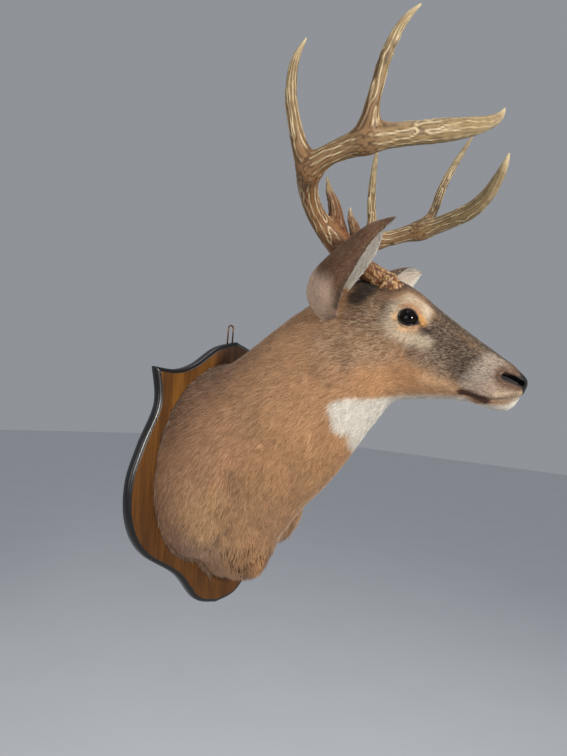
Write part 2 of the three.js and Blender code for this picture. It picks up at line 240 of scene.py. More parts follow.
# %% Join the lengths of the body
FLESH = ("shoulders", "neck", "head")
VOXEL = 2.6 * MM
JOIN_SWELL = 0.8 * MM
EYE_RADIUS = 16 * MM
EYES = {}
for name, side in SIDES:
    low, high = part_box("eye_" + name)
    EYES[name] = np.array((low + high) / 2)

cast = bmesh.new()
for name in FLESH:
    length = bmesh.new()
    length.from_mesh(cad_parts[name].data)
    bmesh.ops.remove_doubles(length, verts=length.verts, dist=0.01 * MM)
    length.normal_update()
    for v, normal in [(v, v.normal.copy()) for v in length.verts]:
        v.co += normal * JOIN_SWELL
    spare = bpy.data.meshes.new("spare")
    length.to_mesh(spare)
    length.free()
    cast.from_mesh(spare)
for centre in EYES.values():
    socket = Matrix.Translation(centre)
    bmesh.ops.create_icosphere(cast, subdivisions=4, radius=EYE_RADIUS + MM, matrix=socket)
skin = object_of("skin", cast)
remesh = skin.modifiers.new("one surface", "REMESH")
remesh.mode = "VOXEL"
remesh.voxel_size = VOXEL
settle(skin)
print("one surface of", len(skin.data.vertices), "points")

# %% [markdown]
# ## Smoothing by place
# The frame's facets have to go, but the nose and lips must keep their shape.  Smoothing moves each point
# towards the mean of its neighbours.  Here each point has its own share of that move: full on the broad
# neck and shoulders, less on the head, and none where the body stands against the board.


# %% Smooth the facets away
def edges_of(piece):
    return read(piece.data.edges, "vertices", 2, np.int32)


def smooth(points, edges, share, rounds):
    """Moves each point its own share of the way to the mean of its neighbours, round after round."""
    count = np.maximum(np.bincount(edges.ravel(), minlength=len(points)), 1)[:, None]
    a, b = edges.T
    for _ in range(rounds):
        total = np.empty_like(points)
        for k in range(3):
            total[:, k] = np.bincount(a, points[b, k], len(points))
            total[:, k] += np.bincount(b, points[a, k], len(points))
        points = points + share[:, None] * (total / count - points)
    return points


SMOOTH_REACH = 9 * MM  # how far the broad smoothing spreads
rounds = int((SMOOTH_REACH / VOXEL) ** 2 * 2.2)
skin_points = points_of(skin)
place = place_on_body(skin_points)
on_face = soft_step(place[:, 0], 0.24, 0.33)
muzzle = soft_step(place[:, 0], 0.50, 0.56)
share = (0.5 - 0.38 * on_face - 0.06 * muzzle) * soft_step(place[:, 0], 0.022, 0.04)
skin_points = smooth(skin_points, edges_of(skin), share, rounds)
move_points(skin, skin_points)
print("smoothed", rounds, "rounds")

# %% [markdown]
# ## Bone and muscle under the skin
# What makes a head read as a deer's is what stands and sinks under the skin: the brow over the eye, the
# hollow before it, the cheekbone, the flat jaw muscle, the muzzle's long hollow and the neck's two long
# muscles.  Each is a soft mound or hollow with a centre, a reach each way and a height, so the list can be
# read like a sculptor's notes.  The coat's own depth is taken off at the same time.

# %% Raise and sink
# centre (ahead, out, height), reach (ahead, out, height), rise; all in millimetres and on both sides
FORMS = [
    ((386, 56, 315), (24, 13, 8), 4.5),  # brow
    ((408, 48, 307), (13, 10, 7), 2.5),
    ((427, 46, 268), (15, 12, 10), -4.0),  # hollow before the eye
    ((392, 58, 262), (22, 14, 7), -2.0),  # hollow under the lower lid
    ((366, 60, 262), (34, 16, 9), 2.5),  # cheekbone
    ((410, 52, 249), (24, 12, 8), 2.2),
    ((350, 58, 302), (17, 14, 15), -4.0),  # temple
    ((334, 58, 218), (34, 22, 34), 4.0),  # jaw muscle
    ((378, 46, 190), (22, 16, 16), -2.5),
    ((455, 40, 214), (34, 16, 17), -3.5),  # hollow of the muzzle
    ((470, 30, 250), (36, 10, 9), 1.8),  # edge of the nose bone
    ((528, 27, 190), (20, 12, 12), 2.0),  # lip pad
    ((548, 12, 228), (16, 10, 9), 1.5),
    ((292, 58, 200), (16, 18, 34), -3.0),  # groove behind the jaw
    ((268, 58, 300), (22, 16, 18), 4.0),  # the ear's muscle
    ((240, 72, 200), (26, 22, 40), 3.0),  # long muscle of the neck
    ((200, 92, 110), (30, 24, 46), 3.5),
    ((262, 58, 110), (16, 16, 34), -3.5),  # groove of the throat
    ((224, 66, 30), (18, 18, 40), -4.0),
    ((112, 140, 60), (34, 30, 60), 4.0),  # point of the shoulder blade
    ((70, 120, 170), (30, 40, 34), -3.0),
    ((68, 78, -160), (24, 18, 20), -6.0),  # notch under the shoulder, behind the brisket
    ((92, 112, -96), (30, 26, 34), 4.0),  # lower mound of the shoulder
]
# start and end (ahead, out, height), reach and depth of a crease
CREASES = [
    ((160, 80, -62), (134, 90, -104), 8.0, 5.0),
    ((134, 90, -104), (92, 92, -152), 9.0, 8.0),
    ((142, 110, 10), (148, 98, -50), 13.0, 5.0),
    ((212, 92, 92), (196, 98, 74), 5.0, 2.5),
]


def folded(place):
    """The same place on one side of the middle."""
    return np.stack([place[:, 0], np.abs(place[:, 1]), place[:, 2]], 1)


def crease_distance(place, start, end):
    start, end = np.array(start) * MM, np.array(end) * MM
    way = end - start
    t = np.clip((place - start) @ way / (way @ way), 0, 1)
    return np.linalg.norm(place - start - t[:, None] * way, axis=1)


def coat_depth(place):
    """How deep the coat is: thin on the face, deeper on the neck, deepest on the brisket."""
    neck = 1 - soft_step(place[:, 0], 0.25, 0.36)
    brisket = 1 - soft_step(place[:, 2], -0.16, -0.05)
    return (1.3 + 2.6 * neck + 4.5 * brisket) * MM


place = place_on_body(skin_points)
near = folded(place)
rise = np.zeros(len(place))
for centre, reach, height in FORMS:
    rise += height * MM * np.exp(-(((near - np.array(centre) * MM) / (np.array(reach) * MM)) ** 2).sum(1))
for start, end, reach, depth in CREASES:
    rise -= depth * MM * bell(crease_distance(near, start, end), reach * MM)
rise -= (coat_depth(place) + JOIN_SWELL) * soft_step(place[:, 0], 0.019, 0.024)
skin_points = skin_points + normals_of(skin) * rise[:, None]
move_points(skin, skin_points)
print("highest", round(rise.max() * 1000, 1), "mm, deepest", round(rise.min() * 1000, 1), "mm")

# %% [markdown]
# ## Fewer faces under the thick coat
# The surface has the same fine faces all over, and most of them lie on the neck and shoulders under long
# hair.  A decimate modifier, held to a vertex group, thins them out there and leaves the head alone.

# %% Fewer faces where the coat hides them
BROAD_KEPT = 0.42  # the share of the faces that stays
BROAD_END = 0.27  # how far ahead the broad part goes
broad = np.where(place[:, 0] < BROAD_END)[0]
skin.vertex_groups.new(name="broad").add(broad.tolist(), 1.0, "REPLACE")
fewer = skin.modifiers.new("fewer faces", "DECIMATE")
fewer.vertex_group = "broad"
fewer.ratio = BROAD_KEPT
settle(skin)
place = place_on_body(points_of(skin))
print("now", len(place), "points,", int((place[:, 0] > BROAD_END).sum()), "of them on the head")

# %% [markdown]
# ## Finer skin where the face needs it
# Lids, nostrils and lips are only a few millimetres wide.  The whole skin could be that fine, but most of
# it lies under hair, so only the faces near those features are divided, twice round the eyes.

# %% Divide round the eyes and the mouth
# (ahead, out, height) and, for the mouth's line, (ahead, height), in millimetres
NOSTRIL_REAR, NOSTRIL_FRONT = (542, 27, 207), (566, 18, 198)
MOUTH = [(474, 178), (492, 174), (511, 171), (530, 171), (548, 174), (561, 178), (574, 184)]
MOUTH_AHEAD, MOUTH_HEIGHT = np.array(MOUTH).T * MM
# how far round the eyes, the nostrils and the lips each round of dividing goes, in millimetres
DIVIDED = ((29, 18, 11), (22, 14, 0))
MOUTH_CORNER = 0.468  # how far ahead the lips begin


def divide(piece, wanted):
    """Halves every edge whose two ends are wanted."""
    shape = bmesh.new()
    shape.from_mesh(piece.data)
    shape.verts.ensure_lookup_table()
    edges = [e for e in shape.edges if wanted[e.verts[0].index] and wanted[e.verts[1].index]]
    bmesh.ops.subdivide_edges(shape, edges=edges, cuts=1, use_grid_fill=True)
    shape.to_mesh(piece.data)
    shape.free()


def near_eyes(points, reach):
    distances = [np.linalg.norm(points - eye, axis=1) for eye in EYES.values()]
    return np.min(distances, axis=0) < reach


def mouth_level(ahead):
    """The height of the mouth's line at each distance ahead."""
    return np.interp(ahead, MOUTH_AHEAD, MOUTH_HEIGHT)


for eye_reach, nostril_reach, lip_reach in DIVIDED:
    skin_points = points_of(skin)
    place = place_on_body(skin_points)
    from_mouth = np.abs(place[:, 2] - mouth_level(place[:, 0]))
    lips = (place[:, 0] > MOUTH_CORNER) & (from_mouth < lip_reach * MM)
    nostrils = crease_distance(folded(place), NOSTRIL_REAR, NOSTRIL_FRONT) < nostril_reach * MM
    divide(skin, near_eyes(skin_points, eye_reach * MM) | lips | nostrils)
print("now", len(skin.data.vertices), "points")

# %% [markdown]
# ## Lids
# A glass eye shows through an almond-shaped opening, with its pointed corner towards the nose.  Each skin
# point near the eye is moved along the line from the eye's middle.  Inside the opening it goes behind the
# glass, and outside it lies just above the glass, as a lid does, and then runs back into the face.

# %% Fit the lids over the eyes
EYE_OUTWARD = (0.16, 0.98, 0.04)  # the way the eye looks: ahead, out, height
EYE_FORWARD = (0.91, -0.11, -0.40)  # from its rear corner to its front corner
OPENING_FRONT, OPENING_REAR = 17.5 * MM, 14.6 * MM
OPENING_ABOVE, OPENING_BELOW = 12.4 * MM, 12.2 * MM
FRONT_TAPER = 0.38  # how much lower the opening is at its front corner
LID_THICKNESS = 1.7 * MM
LID_FOLD = 0.9 * MM  # the depth of the fold over the upper lid
SKIN_BEHIND = 4 * MM  # how far the skin goes back behind the glass


def eye_axes(side):
    """The eye's own directions in X, Y, Z: to its front corner, up, and the way that it looks."""
    mirror = np.array([1, side, 1])
    outward = unit((np.array(EYE_OUTWARD) * mirror) @ HEAD_AXES)
    forward = (np.array(EYE_FORWARD) * mirror) @ HEAD_AXES
    forward = unit(forward - outward * (forward @ outward))
    above = np.cross(outward, forward)
    return forward, above * np.sign(above[2]), outward


def tapered(across, height):
    """A height of the opening, made lower towards its front corner."""
    return height * (1 - FRONT_TAPER * np.clip(across / OPENING_FRONT, 0, 1) ** 2)


def opening_share(across, above):
    """1 on the edge of the opening, less inside it and more outside."""
    length = np.where(across > 0, OPENING_FRONT, OPENING_REAR)
    height = tapered(across, np.where(above > 0, OPENING_ABOVE, OPENING_BELOW))
    return np.hypot(across / length, above / height)


skin_points = points_of(skin)
for name, side in SIDES:
    forward, above, outward = eye_axes(side)
    from_eye = skin_points - EYES[name]
    across, over, out = from_eye @ forward, from_eye @ above, from_eye @ outward
    edge = opening_share(across, over)
    distance = np.linalg.norm(from_eye, axis=1)
    lid = EYE_RADIUS + LID_THICKNESS - LID_FOLD * bell(edge - 1.42, 0.13) * (over > -2 * MM)
    behind = EYE_RADIUS - SKIN_BEHIND
    wanted = behind + (lid - behind) * soft_step(edge, 0.97, 1.05)
    hold = (1 - soft_step(edge, 1.25, 2.0)) * (out > 0) * (distance < 40 * MM)
    moved = EYES[name] + unit(from_eye) * wanted[:, None]
    skin_points = skin_points + hold[:, None] * (moved - skin_points)
print("lids over eyes of", EYE_RADIUS * 1000, "mm")

# %% [markdown]
# ## Nostrils, lips and the tear duct
# The nostril is a comma-shaped hollow that slants down to the nose pad.  The mouth is a narrow groove, with
# the lower lip set in a little behind the upper one.  Below the eye's front corner a short furrow runs down
# the face.  All are cut by moving points inwards, more in the middle and less at the edge.

# %% Cut the nostrils, the mouth and the furrow
NOSTRIL_WIDTH = 6.0 * MM
NOSTRIL_DEPTH = 13.0 * MM
HOLLOW_WAY = unit(np.array([-0.55, -0.8, -0.05]))  # the way that the nostril is hollowed
HOLLOW_START = (np.array([NOSTRIL_REAR, NOSTRIL_FRONT]) * MM @ HOLLOW_WAY).min()
FURROW = ((414, 53, 280), (428, 46, 267))
NOSE_PAD = ((566, 0, 214), (573, 0, 188))


def nostril_distance(place):
    """Distance from the nostril's middle line, as seen along the way that it is hollowed."""
    near = folded(place)
    deep = np.clip(near @ HOLLOW_WAY - HOLLOW_START, 0, 20 * MM)
    seen = crease_distance(near - deep[:, None] * HOLLOW_WAY, NOSTRIL_REAR, NOSTRIL_FRONT)
    return np.where(crease_distance(near, NOSTRIL_REAR, NOSTRIL_FRONT) < 16 * MM, seen, 1.0)


move_points(skin, skin_points)
place = place_on_body(skin_points)
near = folded(place)
inward = -normals_of(skin)
mouth_start = soft_step(place[:, 0], 0.474, 0.486)
below_lip = mouth_level(place[:, 0]) - place[:, 2]
sink = 2.6 * MM * bell(below_lip, 1.9 * MM) * mouth_start
lower_lip = soft_step(below_lip, 0, 2 * MM) * (1 - soft_step(below_lip, 5 * MM, 16 * MM))
sink += 1.7 * MM * lower_lip * mouth_start
sink -= 0.9 * MM * bell(below_lip + 4.5 * MM, 3 * MM) * soft_step(place[:, 0], 0.50, 0.53)
furrow = crease_distance(near, *FURROW)
sink += 2.4 * MM * bell(furrow, 3.2 * MM)
from_nostril = crease_distance(near, NOSTRIL_REAR, NOSTRIL_FRONT)
narrowing = 1 - 0.35 * soft_step(place[:, 0], 0.55, 0.566)
nostril = 1 - soft_step(from_nostril / narrowing, 0.65 * NOSTRIL_WIDTH, 1.1 * NOSTRIL_WIDTH)
sink -= 1.3 * MM * bell(from_nostril - 9 * MM, 2.6 * MM)
hollow_way = body_direction(place, HOLLOW_WAY[0], np.sign(place[:, 1]) * HOLLOW_WAY[1], HOLLOW_WAY[2])
skin_points = skin_points + inward * sink[:, None]
skin_points = skin_points + hollow_way * (NOSTRIL_DEPTH * nostril)[:, None]
share = 0.35 * soft_step(place[:, 0], 0.46, 0.48)
share = np.maximum(share, 0.30 * near_eyes(skin_points, 26 * MM))
skin_points = smooth(skin_points, edges_of(skin), share, 2)
move_points(skin, skin_points)
print("nostrils", int((nostril > 0.5).sum()), "points deep")

# %% [markdown]
# ## Ears
# A deer's ear is a leaf of gristle rolled into a cup, thick at its base and fine at its rim.  A remesh would
# tear so thin a rim, so each ear is swept along its middle line as a closed leaf of its own, finely divided,
# and joined to the skin with a boolean.  The points round the join are then smoothed until it disappears.

# %% Sweep the ears
# ahead, out, height, radius of the roll, degrees round to the outer and to the inner edge, thickness
EAR_ROWS = [
    (238, 46, 312, 22, 172, 172, 9),
    (242, 68, 326, 34, 152, 160, 8),
    (260, 94, 342, 43, 116, 128, 6.5),
    (293, 118, 359, 48, 82, 110, 5),
    (324, 134, 380, 44, 66, 98, 4),
    (350, 147, 398, 32, 54, 78, 3.5),
    (367, 153, 409, 16, 48, 56, 3),
    (375, 157, 415, 4, 50, 50, 2),
]
EAR_OPENING = np.array([0.85, -0.4, -0.35])  # the way the cup faces: ahead, out, height
EAR_TIP_AHEAD = {"right": 14 * MM, "left": -6 * MM}
EAR_SEAT = 0.6  # how far the roll's middle stands before the ear's line, as a share of its radius
EAR_STEPS, EAR_ARC = 72, 46
EAR_THIN = 0.5  # the leaf's share of the frame's thickness; the hair takes the rest
EAR_RIDGE, EAR_CURL = 0.7 * MM, 1.5 * MM  # the cup's fine ridges and the curl of its rim
ear_faces = {}  # the way each ear's cup is open


def read_table(rows, t):
    """A smooth curve through the rows, read at each t from 0 to 1."""
    rows = np.asarray(rows, float)
    x = np.clip(np.atleast_1d(t), 0, 1) * (len(rows) - 1)
    i = np.minimum(x.astype(int), len(rows) - 2)
    u = (x - i)[:, None]
    p0, p1, p2, p3 = (rows[np.clip(i + k, 0, len(rows) - 1)] for k in (-1, 0, 1, 2))
    m1, m2, d = (p2 - p0) / 2, (p3 - p1) / 2, p2 - p1
    return p1 + u * (m1 + u * (3 * d - 2 * m1 - m2 + u * (m1 + m2 - 2 * d)))


def ear_leaf(name, side):
    """Points of the ear's outer and inner face, [face, step along, step across, XYZ]."""
    t = np.linspace(0, 1, EAR_STEPS + 1)
    rows = read_table(EAR_ROWS, t)
    mirror = np.array([1, side, 1])
    lead = np.array([EAR_TIP_AHEAD[name], 0, 0])

    def at(row, k):
        return on_head(row[:3] * MM * mirror + lead * k * k)

    along = unit(at(np.array(EAR_ROWS[-1]), 1) - at(np.array(EAR_ROWS[1]), 0))
    face = (EAR_OPENING * mirror) @ HEAD_AXES
    face = unit(face - along * (face @ along))
    ear_faces[name] = face
    outwards = np.cross(along, face) * side
    leaf = np.zeros((2, EAR_STEPS + 1, EAR_ARC + 1, 3))
    share = np.linspace(-1, 1, EAR_ARC + 1)
    for k, row in enumerate(rows):
        radius, outer, inner, thick = row[3] * MM, row[4], row[5], row[6] * MM
        middle = at(row, t[k]) + face * EAR_SEAT * radius
        angle = np.radians(np.where(share < 0, share * inner, share * outer))
        fine = EAR_THIN * thick * (1 - 0.6 * share**4)
        ridges = EAR_RIDGE * np.cos(share * 16) * (1 - share**2) * soft_step(t[k], 0.15, 0.4)
        curl = EAR_CURL * soft_step(np.abs(share), 0.8, 1.0) * (1 - t[k])
        for layer, half in ((0, 0.5), (1, -0.5)):
            r = radius + half * fine - curl + (ridges if layer else 0)
            back, out = (r * np.cos(angle))[:, None], (r * np.sin(angle))[:, None]
            leaf[layer, k] = middle - face * back + outwards * out
    return leaf


def closed_leaf(leaf):
    """One closed mesh round both faces of the leaf."""
    steps, across = leaf.shape[1:3]
    ring = 2 * across
    points = np.concatenate([leaf[0], leaf[1][:, ::-1]], axis=1).reshape(-1, 3)
    k, i = np.meshgrid(np.arange(steps - 1), np.arange(ring), indexing="ij")
    a, b = (k * ring + i).ravel(), (k * ring + (i + 1) % ring).ravel()
    faces = [np.stack([a, b, b + ring], 1), np.stack([a, b + ring, a + ring], 1)]
    for end, flip in ((0, 1), (steps - 1, -1)):
        first = end * ring
        i = np.arange(across - 1)
        quad = [first + i, first + i + 1, first + ring - 2 - i, first + ring - 1 - i]
        for cap in (np.stack([quad[0], quad[3], quad[2]], 1), np.stack([quad[0], quad[2], quad[1]], 1)):
            faces.append(cap[:, ::flip])
    return points, np.concatenate(faces)


def outward_faces(points, faces):
    """The faces, turned round where they would make a solid inside out."""
    a, b, c = (points[faces[:, k]] for k in range(3))
    volume = (a * np.cross(b, c)).sum()
    return faces if volume > 0 else faces[:, ::-1]


ears = {name: ear_leaf(name, side) for name, side in SIDES}
bare_skin = points_of(skin)
for name in ears:
    points, faces = closed_leaf(ears[name])
    leaf = mesh_object("leaf", points, outward_faces(points, faces))
    union = skin.modifiers.new("ear", "BOOLEAN")
    union.operation = "UNION"
    union.solver = "MANIFOLD"
    union.object = leaf
    settle(skin)
    bpy.data.objects.remove(leaf)
print("skin with ears", len(skin.data.vertices), "points,", len(triangles_of(skin)), "triangles")

# %% [markdown]
# ## Where the ears meet the head
# A boolean leaves a sharp line round each ear's root.  The points that are close both to an ear and to the
# old skin are found with a search tree, and smoothed over and over, as a finger smooths clay.

# %% Melt the ears' roots into the head
ON_LEAF, OFF_SKIN = 1.6 * MM, 1.2 * MM  # nearer than this to an ear, further than this from the old skin
JOIN_REACH = 5 * MM


def nearest(points, others, reach):
    """Distance from each point to the nearest of the others, and which one it is."""
    tree = KDTree(len(others))
    for i, p in enumerate(others):
        tree.insert(p, i)
    tree.balance()
    found = [tree.find(p) for p in points]
    distance = np.array([f[2] for f in found])
    return distance, np.where(distance < reach, [f[1] for f in found], -1)


skin_points = points_of(skin)
head_place = place_on_head(skin_points)
by_ears = (np.abs(head_place[:, 1]) > 30 * MM) & (head_place[:, 2] > 0.262) & (head_place[:, 0] < 0.41)
by_ears = np.where(by_ears)[0]
leaf_points = np.concatenate([ears[name].reshape(-1, 3) for name, _ in SIDES])
to_leaf, leaf_index = nearest(skin_points[by_ears], leaf_points, ON_LEAF)
bare_place = place_on_head(bare_skin)
near_skin = bare_skin[(bare_place[:, 2] > 0.25) & (bare_place[:, 0] < 0.42)]
to_bare, _ = nearest(skin_points[by_ears], near_skin, 1)
join = np.zeros(len(skin_points))
join[by_ears] = (to_leaf < JOIN_REACH) & (to_bare < JOIN_REACH)
edges = edges_of(skin)
join = smooth(np.repeat(join[:, None], 3, 1), edges, np.full(len(join), 0.5), 3)[:, 0]
skin_points = smooth(skin_points, edges, 0.5 * np.clip(join * 1.5, 0, 1), 14)
move_points(skin, skin_points)
ear_of_point = np.full(len(skin_points), -1)
on_leaf = (to_leaf < ON_LEAF) & (to_bare > OFF_SKIN)
ear_of_point[by_ears[on_leaf]] = leaf_index[on_leaf]
print("ear points", int(on_leaf.sum()), "join points", int((join > 0.1).sum()))

# %% [markdown]
# ## Markings
# The coat's pattern is kept apart from any material: one function gives the colour and the amount of
# grizzle at any place on the buck, and skin and hair both ask it.  Each mark is a rounded bar from one
# place to another with a reach, a colour, a strength and a softness, laid over the ones before it.
# Some of the colour is painted shade: darker towards the board, and in a few hollows and creases.

# %% The pattern of the coat
NECK_TAN = tint(184, 138, 98)
SHOULDER_TAN = tint(182, 134, 98)
THROAT_TAN = tint(186, 138, 94)
TOPLINE_BROWN = tint(144, 106, 76)
SHOULDER_ROSE, SHOULDER_SAND = tint(172, 124, 98), tint(190, 150, 106)
LOW_SHOULDER, LOW_SHOULDER_REACH = np.array([60, 125, -140]) * MM, np.array([60, 50, 60]) * MM
PALE_SHOULDER, PALE_SHOULDER_REACH = np.array([110, 120, -70]) * MM, np.array([45, 50, 70]) * MM
CREAM, WHITE = tint(210, 192, 166), tint(222, 214, 200)
# The second brown here is partly the coat's darker brown by the board and mostly a painted shadow of the
# neck.
# The third is painted shade in the corner where the coat meets the board.
TUFT_BROWN, BOARD_BROWN_AND_NECK_SHADOW, BOARD_JOIN_SHADE = tint(116, 72, 50), tint(96, 66, 46), tint(66, 46, 33)
# the height of the body's middle line at some distances ahead, and half of the body's height, in metres
MIDDLE_AHEAD, MIDDLE_HEIGHT, HALF_HEIGHT = [0, 0.1, 0.2, 0.3], [0.0, 0.05, 0.17, 0.24], 0.17
# from, to (ahead, out, height in millimetres, both sides), reach, colour, strength, softness, grizzle
MARKS = [
    ((345, 62, 250), (300, 66, 250), 44, tint(158, 122, 90), 0.75, 0.6, 0.8),  # cheek
    ((330, 60, 300), (350, 56, 300), 30, tint(112, 86, 65), 0.8, 0.6, 0.9),  # temple
    ((340, 50, 188), (430, 42, 192), 22, tint(188, 138, 94), 0.85, 0.6, 0.2),  # jaw
    ((430, 42, 192), (480, 34, 186), 14, tint(206, 166, 126), 0.75, 0.6, 0.25),
    ((352, 0, 366), (440, 0, 312), 36, tint(78, 56, 40), 0.92, 0.5, 0.38),  # forehead
    ((352, 0, 372), (330, 20, 368), 32, tint(80, 56, 42), 0.85, 0.6, 0.2),  # crown
    ((366, 34, 344), (352, 36, 352), 29, tint(70, 48, 36), 0.92, 0.45, 0.2),  # round the burr
    ((316, 54, 325), (334, 48, 340), 16, tint(52, 43, 38), 0.95, 0.35, 0.1),  # behind the burr
    ((520, 0, 214), (566, 0, 200), 44, tint(130, 112, 97), 0.9, 0.3, 0.85),  # muzzle
    ((442, 40, 262), (486, 32, 220), 31, tint(62, 47, 37), 0.97, 0.4, 0.5),  # side of the face
    ((448, 10, 300), (520, 4, 250), 25, tint(58, 44, 34), 0.95, 0.45, 0.45),  # bridge of the nose
    ((414, 54, 236), (450, 44, 214), 17, tint(112, 90, 74), 0.75, 0.6, 0.9),
    ((520, 0, 158), (553, 0, 164), 17, WHITE, 0.98, 0.25, 0.0),  # chin
    ((524, 28, 224), (500, 32, 192), 19, tint(172, 156, 142), 0.8, 0.5, 0.8),  # pale band of the muzzle
    ((522, 28, 186), (500, 30, 184), 13, tint(176, 152, 134), 0.8, 0.5, 0.8),
    ((541, 27, 208), (566, 18, 198), 17, tint(96, 64, 45), 0.9, 0.45, 0.3),  # brown round the nostril
    ((532, 0, 240), (562, 4, 222), 13, tint(62, 44, 34), 0.9, 0.6, 0.2),
    ((530, 27, 180), (566, 12, 186), 6, tint(206, 182, 152), 0.8, 0.5, 0.1),  # upper lip
    ((350, 0, 146), (476, 0, 155), 25, WHITE, 0.9, 0.3, 0.0),  # under the jaw
    ((482, 25, 178), (516, 23, 168), 8.0, tint(70, 38, 26), 0.97, 0.4, 0.0),  # lower lip's dark patch
    ((302, 52, 140), (344, 22, 148), 19, WHITE, 0.97, 0.3, 0.0),  # throat patch
    ((306, 44, 120), (334, 10, 126), 19, WHITE, 0.97, 0.3, 0.0),
    ((312, 0, 108), (356, 0, 146), 30, WHITE, 0.97, 0.25, 0.0),
    ((368, 60, 286), (376, 60, 304), 11, CREAM, 0.66, 0.75, 0.6),  # pale ring round the eye
    ((378, 58, 306), (402, 50, 322), 10, CREAM, 0.5, 0.75, 0.6),
    ((402, 50, 322), (426, 42, 304), 10, CREAM, 0.64, 0.7, 0.5),
    ((426, 42, 304), (424, 48, 290), 8, CREAM, 0.75, 0.7, 0.1),
    ((378, 60, 270), (402, 58, 260), 12, CREAM, 0.68, 0.75, 0.6),
    ((402, 58, 260), (426, 50, 254), 11, CREAM, 0.64, 0.7, 0.5),
    ((414, 53, 290), (420, 50, 284), 6.5, tint(214, 156, 88), 0.9, 0.6, 0.0),  # orange at the corners
    ((377, 61, 290), (378, 61, 296), 5.5, tint(212, 160, 100), 0.8, 0.6, 0.0),
    ((386, 60, 273), (406, 58, 270), 4.5, tint(212, 162, 104), 0.75, 0.6, 0.0),
    ((384, 58, 307), (402, 54, 309), 3.5, tint(172, 120, 78), 0.6, 0.7, 0.1),  # upper lid's fold
    ((413, 55, 282), (426, 49, 269), 5.2, tint(22, 17, 15), 0.98, 0.45, 0.0),  # tear duct
    ((566, 0, 215), (573, 0, 188), 13, tint(26, 22, 21), 1.0, 0.2, 0.0),  # nose pad
    ((568, 14, 207), (570, 13, 192), 8, tint(26, 22, 21), 1.0, 0.25, 0.0),
    ((544, 27, 206), (567, 18, 198), 7, tint(26, 19, 16), 1.0, 0.35, 0.0),  # rim of the nostril
    ((86, 92, -145), (130, 52, -137), 6, tint(226, 204, 176), 0.75, 0.5, 0.1),  # pale line over the brisket
    ((148, 106, 12), (142, 96, -52), 17, tint(128, 94, 66), 0.5, 0.8, 0.3),  # partly darker hair, partly painted shade in the hollow before the shoulder
    ((144, 88, -74), (104, 102, -128), 10, tint(112, 80, 56), 0.65, 0.8, 0.2),  # painted shade in the crease above the brisket
    ((262, 76, 214), (286, 68, 186), 13, tint(138, 100, 68), 0.55, 0.8, 0.3),  # painted shade in the fold behind the jaw
]
GRIZZLE_PALE, GRIZZLE_DARK = tint(196, 176, 150), tint(52, 39, 31)


def paint(piece, colours):
    """Keeps one colour for each point, for the material to read."""
    layer = piece.data.color_attributes.new("marking", "FLOAT_COLOR", "POINT")
    rgba = np.ones((len(colours), 4), np.float32)
    rgba[:, :3] = colours
    layer.data.foreach_set("color", rgba.ravel())


def blend(colour, other, weight):
    """Each colour moved its own share of the way to the other."""
    return colour + weight[:, None] * (other - colour)


def markings(place):
    """The coat's colour and grizzle at each place on the body."""
    near = folded(place)
    ahead, out, height = near.T
    level = (height - np.interp(ahead, MIDDLE_AHEAD, MIDDLE_HEIGHT)) / HALF_HEIGHT
    colour = np.tile(NECK_TAN, (len(place), 1))
    colour = blend(colour, SHOULDER_TAN, 1 - soft_step(ahead, 0.08, 0.2))
    colour = blend(colour, THROAT_TAN, soft_step(-level, 0.3, 0.9) * 0.8)
    colour = blend(colour, TOPLINE_BROWN, soft_step(level, 0.45, 1.0) * 0.6)
    low = np.linalg.norm((near - LOW_SHOULDER) / LOW_SHOULDER_REACH, axis=1)
    colour = blend(colour, SHOULDER_ROSE, 0.7 * bell(low, 1.0))
    pale = np.linalg.norm((near - PALE_SHOULDER) / PALE_SHOULDER_REACH, axis=1)
    colour = blend(colour, SHOULDER_SAND, 0.7 * bell(pale, 1.0))
    tuft = (1 - soft_step(height, -0.19, -0.15)) * soft_step(ahead, 0.11, 0.14) * bell(out, 0.05)
    colour = blend(colour, TUFT_BROWN, 0.7 * tuft)
    # Painted shadow of the neck, with the coat's darker brown: darker towards the board, most of all high
    # up.
    upper = 0.2 + 0.65 * soft_step(height, 0, 0.12)
    colour = blend(colour, BOARD_BROWN_AND_NECK_SHADOW, (1 - soft_step(ahead, 0.02, 0.12)) * upper)
    # Painted shade in the corner where the coat meets the board.
    colour = blend(colour, BOARD_JOIN_SHADE, (1 - soft_step(ahead, 0.019, 0.032)) * 0.85)
    grizzle = 0.22 + 0.1 * soft_step(level, 0.2, 0.8)
    for start, end, reach, mark, strength, softness, speckle in MARKS:
        share = crease_distance(near, start, end) / (reach * MM)
        weight = strength * (1 - soft_step(share, 1 - softness, 1 + softness))
        colour = blend(colour, mark, weight)
        grizzle = grizzle + weight * (speckle - grizzle)
    return colour, grizzle


EAR_BACK, EAR_BASE = tint(108, 74, 50), tint(236, 200, 172)
EAR_RIM, EAR_INSIDE = tint(62, 44, 34), tint(206, 190, 174)
LID_DARK, LID_DARK_START, LID_DARK_END = tint(22, 18, 17), 1.12, 1.2  # as shares of the opening
# The near black inside the nostril is its dark skin, painted darker still as shade deep in the hollow.
NOSTRIL_SKIN_AND_SHADE, NOSTRIL_SHADE_START, NOSTRIL_SHADE_END = tint(6, 5, 5), 7.0 * MM, 8.4 * MM


